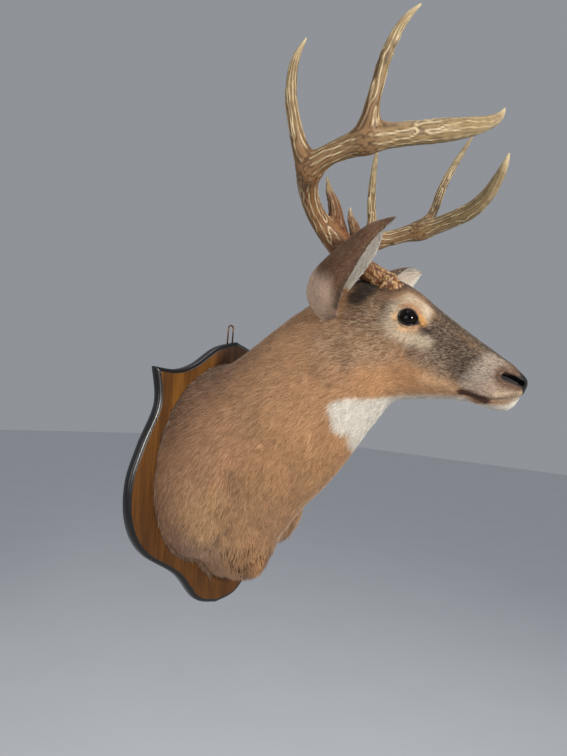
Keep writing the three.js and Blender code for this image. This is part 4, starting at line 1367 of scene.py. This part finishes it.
# %% Rims and lashes
RIM_STEPS, RIM_SIDES = 72, 10
RIM_THICK = 1.25 * MM
RIM_OVER_GLASS, RIM_LEAST_OUT = 0.7 * MM, 2.5 * MM
RIM_BLACK, LASH_BLACK = tint(20, 16, 15), tint(24, 18, 15)
LASHES = 90  # on each eye
LASH_WIDTH = 0.5 * MM
rim_finish = marked_finish("bare_lid", 0.32, 0.5, grain=(1200, 0.15), bump=0.0002)
for name, side in SIDES:
    forward, above, outward = eye_axes(side)
    turn_round = np.arange(RIM_STEPS) / RIM_STEPS * 2 * math.pi
    across = np.cos(turn_round) * np.where(np.cos(turn_round) > 0, OPENING_FRONT, OPENING_REAR)
    over = np.sin(turn_round) * np.where(np.sin(turn_round) > 0, OPENING_ABOVE, OPENING_BELOW)
    over = tapered(across, over)
    shell = EYE_RADIUS + RIM_OVER_GLASS
    reach = np.hypot(across, over)
    out = np.sqrt(np.maximum(shell**2 - reach**2, RIM_LEAST_OUT**2))
    path = EYES[name] + across[:, None] * forward + over[:, None] * above + out[:, None] * outward
    points, faces = tube(path, RIM_THICK, RIM_SIDES, closed=True)
    rim = mesh_object("lid_rim_" + name, points, faces)
    paint(rim, np.tile(RIM_BLACK, (len(points), 1)))
    fix(rim, "coat", rim_finish)
    upper_lid = np.where(over > 4 * MM)[0]
    pick = upper_lid[rng.integers(0, len(upper_lid), LASHES)]
    roots = path[pick] + rng.normal(0, LASH_WIDTH, (LASHES, 3))
    sideways = forward * (across[pick] / OPENING_REAR * 0.5)[:, None]
    heading = unit(outward + 0.5 * above + sideways + rng.normal(0, 0.1, (LASHES, 3)))
    up_lid, droop = np.tile(above, (LASHES, 1)), np.tile(-above * 0.7, (LASHES, 1))
    length, width = rng.uniform(5, 9, LASHES) * MM, np.full(LASHES, LASH_WIDTH)
    colour = np.tile(LASH_BLACK, (LASHES, 1))
    grow_locks("lashes_" + name, roots, up_lid, heading, droop, length, width, colour, roots[:, :2])
print("rims of", RIM_STEPS, "steps")

# %% [markdown]
# ## Antlers
# An antler is bone, laid down along its length.  Thin pale ridges wander from the burr towards the tips,
# with dark stain in the grooves beside them, and pearls roughen the foot.  A bump texture could draw these,
# but real ridges catch the light and show on the outline.  So the branches are swept as tubes and joined,
# each point is moved onto one surface that flows over the forks, and then the ridges are raised.

# %% The branches' middle lines
# ahead, out, height, radius, in millimetres
BEAM = [
    (370, 34, 336, 15), (359, 34, 344.5, 16), (349, 34.3, 352.5, 16.5), (332, 36, 363, 16.5),
    (302, 41, 383, 17.5), (269, 56, 413, 17), (246, 88, 444, 15), (244, 132, 468, 14.5),
    (259, 174, 486, 16), (290, 195, 497, 14.5), (330, 201, 508, 15), (364, 200, 515, 16.5),
    (400, 188, 521, 15.5), (450, 163, 532, 15.5), (482, 134, 547, 13), (504, 102, 567, 9.5),
    (515, 84, 583, 6), (521, 76, 598, 1.5),
]
BROW_TINE = [
    (276, 55, 410, 12), (269, 57, 442, 11.5), (260, 59, 477, 9.5), (250, 61, 502, 6), (246, 66, 525, 1.2),
]
SECOND_TINE = [
    (262, 182, 484, 12), (252, 197, 513, 11.5), (247, 212, 540, 9.5), (241, 219, 575, 8.7),
    (240, 220, 615, 7.3), (243, 215, 646, 5), (250, 204, 676, 1.2),
]
THIRD_TINE = [
    (352, 201, 512, 14), (362, 222, 538, 10.5), (370, 232, 562, 8.8), (379, 234, 600, 8.3),
    (392, 234, 634, 6.8), (405, 230, 658, 4.8), (419, 220, 679, 1.2),
]
# how far each of the left antler's tips moves, where it differs from the right one's
LEFT_TIPS = {"second": (0, 6, 40), "third": (26, 0, 34), "brow": (0, 0, -6)}
BRANCHES = {"beam": BEAM, "brow": BROW_TINE, "second": SECOND_TINE, "third": THIRD_TINE}
RING_SPACING = 2.1 * MM
BRANCH_SIDES = 48
FORK_BLEND = 8.5 * MM  # how widely one branch flows into another
BURR_AT, BURR_REACH, BURR_RISE = 20 * MM, 5 * MM, 3.6 * MM  # the burr along the beam, and its height
RIDGE_WIDTH, RIDGE_RISE = 0.95 * MM, 0.8 * MM
GROOVE_AT, GROOVE_WIDTH, GROOVE_SINK = 2.6 * MM, 1.1 * MM, 0.5 * MM
PEARL_RADIUS, PEARL_RISE, PEARLS = 2.3 * MM, 1.3 * MM, 230
FOOT_LENGTH = 75 * MM  # how far up the beam the pearls go
TINE_START = 0.4  # a tine starts with the colour that the beam has at this share of its length
BRANCH_READINGS = 301  # how many places along a branch are kept


class Branch:
    """A branch's middle line with a frame that turns smoothly along it."""

    def __init__(self, name, side):
        t = np.linspace(0, 1, BRANCH_READINGS)
        rows = read_table(BRANCHES[name], t)
        tip = np.array(LEFT_TIPS.get(name, (0, 0, 0)) if side > 0 else (0, 0, 0), float)
        middle = on_head((rows[:, :3] + tip * (t * t)[:, None]) * np.array([1, side, 1]) * MM)
        steps = np.linalg.norm(np.diff(middle, axis=0), axis=1)
        travelled = np.concatenate([[0], np.cumsum(steps)])
        self.length = travelled[-1]
        self.along = np.linspace(0, self.length, BRANCH_READINGS)
        self.path = np.stack([np.interp(self.along, travelled, middle[:, k]) for k in range(3)], 1)
        self.radius = np.interp(self.along, travelled, rows[:, 3]) * MM
        if name == "beam":
            self.radius = self.radius + BURR_RISE * bell(self.along - BURR_AT, BURR_REACH)
        self.tangent = unit(np.gradient(self.path, axis=0))
        self.normal = np.zeros_like(self.path)
        normal = np.array([0.3, 0.2, 0.9])
        for k, way in enumerate(self.tangent):
            normal = unit(normal - way * (normal @ way))
            self.normal[k] = normal
        self.second = np.cross(self.tangent, self.normal)

    def solid(self):
        """The branch as a round closed tube."""
        rings = int(self.length / RING_SPACING)
        along = np.linspace(0, self.length, rings + 1)
        path = np.stack([np.interp(along, self.along, self.path[:, k]) for k in range(3)], 1)
        return tube(path, np.interp(along, self.along, self.radius), BRANCH_SIDES)

    def measure(self, points):
        """How far each point is outside the branch, how far along it, its angle round it, and the radius."""
        k = ((self.path**2).sum(1) - 2 * points @ self.path.T).argmin(1)
        gap = points - self.path[k]
        ahead = (gap * self.tangent[k]).sum(1)
        between_ends = (k > 0) & (k < BRANCH_READINGS - 1)
        gap = gap - self.tangent[k] * ahead[:, None] * between_ends[:, None]
        along = self.along[k] + ahead
        radius = np.interp(along, self.along, self.radius)
        angle = np.arctan2((gap * self.second[k]).sum(1), (gap * self.normal[k]).sum(1))
        return np.linalg.norm(gap, axis=1) - radius, along, angle, radius


def ridge_distance(along, angle, radius, seed):
    """How far each point is from the nearest thin ridge, where a sum of drifting waves passes zero."""
    wander = np.random.default_rng(seed)
    wave, slope, size = np.zeros(len(along)), np.zeros(len(along)), 0.0
    for turns, strength in ((2, 0.7), (3, 0.8), (5, 1.0), (6, 0.9)):
        drift = wander.uniform(0, 6)
        for stretch in (0.20, 0.075, 0.032):
            swing = wander.uniform(0.4, 1.0) * stretch * 9
            drift = drift + swing * np.sin(along / stretch * 2 * math.pi + wander.uniform(0, 6))
        wave += strength * np.cos(turns * angle + drift)
        slope -= strength * turns * np.sin(turns * angle + drift)
        size += (strength * turns) ** 2
    return np.abs(wave) * radius / np.sqrt(slope**2 + 0.05 * size)


for part in BRANCHES:
    print(part, [round(Branch(part, side).length, 3) for _, side in SIDES], "m on the right and the left")

# %% [markdown]
# ## One antler from its branches
# Joined tubes meet in sharp creases, where a real fork flows.  A formula that mixes the distances to all the
# branches describes one soft surface, and moving every point onto it takes the creases away.  Where each
# point stands then says how rough and how stained it is: pearls and dark crevices at the foot, long ridges
# with grooves beside them further up, and bare polished bone at the tips.

# %% Join, raise the ridges and colour the bone
BONE_RED, BONE_BROWN, BONE_OLIVE = tint(118, 70, 40), tint(132, 95, 60), tint(138, 115, 80)
RIDGE_PALE, GROOVE_DARK = tint(222, 202, 160), tint(54, 34, 22)
PEARL_PALE, CREVICE = tint(208, 172, 122), tint(64, 40, 26)
antler_finish = marked_finish("antler_bone", 0.5, 0.3, grain=(420, 0.25), bump=0.0003)


def joined_branches(name, side):
    """One soft surface over all the branches of an antler, and the branches."""
    branches = [Branch(part, side) for part in BRANCHES]
    whole = mesh_object("antler_" + name, *branches[0].solid())
    for branch in branches[1:]:
        other = mesh_object("branch", *branch.solid())
        union = whole.modifiers.new("join", "BOOLEAN")
        union.operation, union.solver, union.object = "UNION", "MANIFOLD", other
        settle(whole)
        bpy.data.objects.remove(other)
    edges = edges_of(whole)
    for _ in range(5):  # each round brings the points closer to the shared surface
        points = points_of(whole)
        outside = np.stack([branch.measure(points)[0] for branch in branches])
        shared = -FORK_BLEND * np.log(np.exp(-outside / FORK_BLEND).sum(0))
        near_fork = soft_step(outside.min(0) - shared, 0.3 * MM, 2 * MM)
        points = points - normals_of(whole) * (shared * 0.8)[:, None]
        move_points(whole, smooth(points, edges, 0.5 * near_fork, 3))
    return whole, branches


def read_branches(points, branches, side):
    """Each point's distance to a ridge, share of the way to a tip, way up the beam, and surest branch."""
    measured = [branch.measure(points) for branch in branches]
    weight = np.exp(-np.stack([m[0] for m in measured]) / (3 * MM))
    weight = weight / weight.sum(0)
    share, distance = np.zeros(len(points)), np.zeros(len(points))
    for k, (branch, (_, along, angle, radius)) in enumerate(zip(branches, measured)):
        distance += weight[k] * ridge_distance(along, angle, radius, 20 * k + (side > 0))
        start = TINE_START if k else 0
        share += weight[k] * (start + (1 - start) * along / branch.length)
    return distance, share, measured[0][1], weight.argmax(0), weight.max(0)


def antler(name, side):
    """An antler with its ridges, grooves, burr and pearls, coloured by the same measures."""
    whole, branches = joined_branches(name, side)
    points = points_of(whole)
    distance, share, up_beam, closest, surely = read_branches(points, branches, side)
    noise = cell_noise(points, 9 * MM)
    tips = soft_step(share, 0.72, 0.97)
    calm = 1 - 0.8 * tips
    single = 0.3 + 0.7 * soft_step(surely, 0.7, 0.97)  # ridges of two branches would cross at a fork
    ridge = bell(distance, RIDGE_WIDTH) * (0.35 + 0.65 * soft_step(noise, 0.25, 0.6)) * single
    groove = bell(distance - GROOVE_AT, GROOVE_WIDTH)
    on_beam = closest == 0
    on_brow = (closest == 1) * (1 - soft_step(share, 0.8, 1.0))
    at_foot = (1 - soft_step(up_beam, 0.55 * FOOT_LENGTH, FOOT_LENGTH)) * on_beam
    collar = bell(up_beam - BURR_AT, BURR_REACH) * on_beam
    rough = np.maximum(at_foot, 0.55 * on_brow)
    chance = rough**2 + 1e-9
    seeds = points[rng.choice(len(points), PEARLS * 3, p=chance / chance.sum())]
    to_seed, _ = nearest(points, seeds, 1)
    pearl = np.sqrt(np.clip(1 - (to_seed / PEARL_RADIUS) ** 2, 0, 1)) * np.maximum(rough, collar)
    ridge, groove = ridge * (1 - 0.7 * at_foot), groove * (1 - 0.5 * at_foot)
    rise = (RIDGE_RISE * ridge - GROOVE_SINK * groove) * calm + PEARL_RISE * pearl
    rise += 0.5 * MM * (noise - 0.5) * calm
    move_points(whole, points + normals_of(whole) * rise[:, None])
    colour = blend(np.tile(BONE_BROWN, (len(points), 1)), BONE_OLIVE, soft_step(share, 0.35, 0.8))
    colour = blend(colour, BONE_RED, (1 - soft_step(up_beam, 0.03, 0.22)) * on_beam)
    colour = blend(colour, BONE_RED * 0.8, 0.9 * on_brow)
    colour = colour * (0.86 + 0.28 * noise)[:, None]
    colour = blend(colour, GROOVE_DARK, 0.72 * groove * calm)
    colour = blend(colour, RIDGE_PALE, 0.85 * ridge * (1 - 0.6 * tips) * (1 - 0.6 * on_brow))
    colour = blend(colour, RIDGE_PALE, 0.1 * tips + 0.5 * soft_step(share, 0.94, 1.0))
    colour = blend(colour, CREVICE, 0.55 * np.maximum(at_foot, collar) * (1 - soft_step(pearl, 0.05, 0.5)))
    paint(whole, blend(colour, PEARL_PALE, 0.65 * soft_step(pearl, 0.4, 0.95)))
    parts = ("burr_", "beam_base_", "beam_middle_", "beam_tip_", "brow_tine_", "tine_2_", "tine_3_")
    fix(whole, "antler", antler_finish, *(part + name for part in parts))
    print(whole.name, len(whole.data.polygons), "faces")


for name, side in SIDES:
    antler(name, side)

# %% [markdown]
# ## The plaque
# The board is a shield of solid wood with an ogee moulded round its edge.  Its outline comes from the
# frame's own board: the points of its back face, in order round the middle.  Rings of that outline, each
# moved in and forward by the moulding's profile, make the edge.  The last ring is filled as the face.

# %% Shape the plaque
board_points = points_of(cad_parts["plaque_board"])
on_wall = board_points[:, 1] > -0.1 * MM
outline = np.unique(board_points[on_wall][:, [0, 2]].round(5), axis=0)
BOARD_MIDDLE = np.array([0, -20]) * MM
around = outline - BOARD_MIDDLE
outline = outline[np.argsort(np.arctan2(around[:, 1], around[:, 0]))]
CORNER_TURN = math.radians(60)  # a bend sharper than this stays a corner
OUTLINE_STEPS = 4  # new points for each of the frame's
EDGE_PROFILE = [  # inset and distance from the wall, in millimetres
    (0.9, 0.0), (0.0, 1.0), (0.0, 11.0), (0.4, 12.6), (1.2, 14.0), (2.4, 15.2), (3.8, 16.0), (5.4, 16.5),
    (6.2, 16.5), (6.6, 16.7), (7.1, 17.7), (7.6, 18.0),
]


def finer_outline(points, steps):
    """The outline as a smooth curve that keeps its pointed corners sharp."""
    before, after = points - np.roll(points, 1, 0), np.roll(points, -1, 0) - points
    sideways = before[:, 0] * after[:, 1] - before[:, 1] * after[:, 0]
    bend = np.abs(np.arctan2(sideways, (before * after).sum(1)))
    slope = np.where((bend > CORNER_TURN)[:, None], 0, (before + after) / 2)
    made = []
    for i in range(len(points)):
        p, q = points[i], points[(i + 1) % len(points)]
        m, n = slope[i], slope[(i + 1) % len(points)]
        m, n = (m if m.any() else q - p), (n if n.any() else q - p)
        for u in np.arange(steps) / steps:
            d = q - p
            made.append(p + u * (m + u * (3 * d - 2 * m - n + u * (m + n - 2 * d))))
    return np.array(made)


def inset_outline(points, distance):
    """The outline moved inwards: on each ray from the middle, the place that far from every edge."""
    ray = points - BOARD_MIDDLE
    length = np.linalg.norm(ray, axis=1)
    start, way = points, np.roll(points, -1, 0) - points
    low, high = np.zeros(len(points)), np.full(len(points), 60 * MM)
    for _ in range(22):
        step = (low + high) / 2
        place = BOARD_MIDDLE + ray * (1 - step / length)[:, None]
        from_start = place[:, None] - start
        share = np.clip((from_start * way).sum(2) / (way**2).sum(1), 0, 1)
        gap = np.linalg.norm(from_start - share[:, :, None] * way, axis=2).min(1)
        low, high = np.where(gap < distance, step, low), np.where(gap < distance, high, step)
    return BOARD_MIDDLE + ray * (1 - high / length)[:, None]


board_outline = finer_outline(outline, OUTLINE_STEPS)
rings = [inset_outline(board_outline, inset * MM) for inset, _ in EDGE_PROFILE]
count = len(board_outline)
board = bmesh.new()
corners = []
for ring, (_, depth) in zip(rings, EDGE_PROFILE):
    corners.append([board.verts.new((x, -depth * MM, z)) for x, z in ring])
for ring, following in zip(corners, corners[1:]):
    for i in range(count):
        k = (i + 1) % count
        board.faces.new((ring[i], ring[k], following[k], following[i]))
back = board.faces.new(corners[0][::-1])
face = board.faces.new(corners[-1])
for f in board.faces:
    f.smooth = f not in (back, face)
bmesh.ops.recalc_face_normals(board, faces=board.faces)
bmesh.ops.triangulate(board, faces=[back, face])
plaque = object_of("plaque", board)
print("plaque outline of", count, "points")

# %% [markdown]
# ## Stained wood, paint and wire
# Stained wood has broad bands along the grain and fine dark pores.  Noise stretched upright gives both, and
# it also makes the gloss a little uneven.  Paint, wire and the studio's floor are plainer: two near shades
# by noise with a very fine bump, so that one function makes all three.

# %% Stained wood and black edge
WOOD_DARK, WOOD_MIDDLE, WOOD_LIGHT = tint(58, 31, 9), tint(94, 57, 18), tint(122, 78, 28)


def stained_wood():
    """Wood with bands along its grain, dark pores and a slightly uneven gloss."""
    material, nodes, links, shader = new_finish("stained_wood")
    shader.inputs["Specular IOR Level"].default_value = 0.25
    shader.inputs["Coat Weight"].default_value = 0.08
    shader.inputs["Coat Roughness"].default_value = 0.25
    where = nodes.new("ShaderNodeTexCoord")
    upright = add_node(nodes, "Mapping", Scale=(1, 1, 0.07))
    broad = add_node(nodes, "TexNoise", Scale=34, Detail=5, Distortion=0.6)
    pores = add_node(nodes, "TexNoise", Scale=420, Detail=2)
    stain = nodes.new("ShaderNodeValToRGB")
    stops = stain.color_ramp.elements
    stops[0].position, stops[0].color = 0.28, (*WOOD_DARK, 1)
    stops[1].position, stops[1].color = 0.72, (*WOOD_LIGHT, 1)
    stops.new(0.5).color = (*WOOD_MIDDLE, 1)
    fine = add_node(nodes, "MapRange", From_Min=0.35, From_Max=0.6, To_Min=0.72)
    rough = add_node(nodes, "MapRange", To_Min=0.5, To_Max=0.36)
    lift = add_node(nodes, "Bump", Distance=0.0002, Strength=0.6)
    links.new(where.outputs["Object"], upright.inputs["Vector"])
    for noise in (broad, pores):
        links.new(upright.outputs["Vector"], noise.inputs["Vector"])
    links.new(broad.outputs["Fac"], stain.inputs["Fac"])
    links.new(pores.outputs["Fac"], fine.inputs["Value"])
    varied = multiply(nodes, links, stain.outputs["Color"], fine.outputs["Result"])
    links.new(varied, shader.inputs["Base Color"])
    links.new(broad.outputs["Fac"], rough.inputs["Value"])
    links.new(rough.outputs["Result"], shader.inputs["Roughness"])
    links.new(pores.outputs["Fac"], lift.inputs["Height"])
    links.new(lift.outputs["Normal"], shader.inputs["Normal"])
    return material


def two_shade_finish(name, dark, light, roughness, metallic, scale):
    """Paint, wire or floor: two near shades by noise, and a fine bump."""
    material, nodes, links, shader = new_finish(name)
    shader.inputs["Roughness"].default_value = roughness
    shader.inputs["Metallic"].default_value = metallic
    noise = add_node(nodes, "TexNoise", Scale=scale)
    shades = nodes.new("ShaderNodeValToRGB")
    shades.color_ramp.elements[0].color = (*dark, 1)
    shades.color_ramp.elements[1].color = (*light, 1)
    lift = add_node(nodes, "Bump", Distance=0.0001)
    where = nodes.new("ShaderNodeTexCoord")
    links.new(where.outputs["Object"], noise.inputs["Vector"])
    links.new(noise.outputs["Fac"], shades.inputs["Fac"])
    links.new(noise.outputs["Fac"], lift.inputs["Height"])
    links.new(shades.outputs["Color"], shader.inputs["Base Color"])
    links.new(lift.outputs["Normal"], shader.inputs["Normal"])
    return material


fix(plaque, "wood", stained_wood(), "plaque_board")
plaque.data.materials.append(two_shade_finish("black_edge", tint(10, 9, 9), tint(24, 21, 20), 0.28, 0.0, 90))
BLACK_FROM = -16.6 * MM  # the paint stops where the face begins
for polygon in plaque.data.polygons:
    steep = abs(polygon.normal.y) < 0.999
    on_edge = steep or (polygon.center.y > BLACK_FROM and polygon.normal.y < 0)
    polygon.material_index = 1 if on_edge else 0
print("painted faces", sum(polygon.material_index for polygon in plaque.data.polygons))

# %% [markdown]
# ## The hanger
# A bent wire loop stands over the crest of the board.  A curve with a round bevel would make it, but a
# swept tube is the same shape with no conversion.  The frame's loop gives its size and place.

# %% Wire loop
FOOT_BELOW = 8 * MM  # the feet go on down inside the board
ARCH_STEPS, WIRE_SIDES = 33, 14
loop_low, loop_high = (np.array(c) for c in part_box("hanger_loop"))
wire_radius = (loop_high[1] - loop_low[1]) / 2
loop_middle = (loop_low + loop_high) / 2
loop_radius = (loop_high[0] - loop_low[0]) / 2 - wire_radius
arch_top = loop_high[2] - wire_radius - loop_radius
angle = np.linspace(math.pi, 0, ARCH_STEPS)
across, up = loop_radius * np.cos(angle), loop_radius * np.sin(angle)
arch = np.stack([loop_middle[0] + across, np.full(ARCH_STEPS, loop_middle[1]), arch_top + up], 1)
foot_level = loop_low[2] - FOOT_BELOW
feet = [arch[k] * [1, 1, 0] + [0, 0, foot_level] for k in (0, -1)]
wire_path = np.concatenate([feet[:1], arch, feet[1:]])
loop = mesh_object("wire_loop", *tube(wire_path, wire_radius, WIRE_SIDES))
wire_finish = two_shade_finish("bronze_wire", tint(62, 40, 22), tint(150, 104, 56), 0.32, 0.9, 220)
fix(loop, "wire", wire_finish, "hanger_loop")
print("loop radius", round(loop_radius * 1000, 1), "mm")

# %% [markdown]
# ## Studio
# The floor is a plain pale plate well below the mount.  A soft lamp in front, level with the head, is the
# main light; its light is kept narrow, so that it makes no bright pool on the floor.  Weaker ones on either
# side open the shadows, and one from above draws the top of the neck and antlers.

# %% Floor
FLOOR_LEVEL = -1.1
FLOOR_SIZE = 30  # metres
plate = bmesh.new()
bmesh.ops.create_grid(plate, x_segments=1, y_segments=1, size=FLOOR_SIZE / 2)
floor = object_of("floor", plate)
floor.location = (0, 0, FLOOR_LEVEL)
floor_finish = two_shade_finish("pale_floor", tint(226, 228, 231), tint(232, 234, 237), 0.9, 0.0, 3)
floor.data.materials.append(floor_finish)
print("floor at", FLOOR_LEVEL, "m")

# %% World and lamps
world = bpy.data.worlds.new("studio")
world.use_nodes = True
background = world.node_tree.nodes["Background"]
background.inputs["Color"].default_value = (*tint(188, 192, 199), 1)
background.inputs["Strength"].default_value = 0.55
bpy.context.scene.world = world
LIGHTS = [  # name, place, size, power, degrees that its light spreads, colour; all aimed at the neck
    ("main", (-0.5, -2.2, 0.42), 0.3, 12.4, 100, (1.0, 0.97, 0.92)),
    ("fill", (-2.4, -0.7, 0.5), 1.4, 17, 180, (0.97, 0.98, 1.0)),
    ("left", (2.2, -1.4, 0.9), 1.6, 9, 180, (0.97, 0.98, 1.0)),
    ("top", (-0.3, -0.5, 2.4), 1.2, 14, 180, (1.0, 0.98, 0.95)),
]
AIM = Vector((0, -0.25, 0.15))
for name, place, size, power, spread, colour in LIGHTS:
    lamp_data = bpy.data.lights.new(name, "AREA")
    lamp_data.size, lamp_data.energy, lamp_data.color = size, power, colour
    lamp_data.spread = math.radians(spread)
    lamp = into_scene(name, lamp_data)
    lamp.location = place
    lamp.rotation_euler = (AIM - Vector(place)).to_track_quat("-Z", "Y").to_euler()
bpy.context.scene.view_settings.view_transform = "Standard"
print(len(LIGHTS), "lamps")
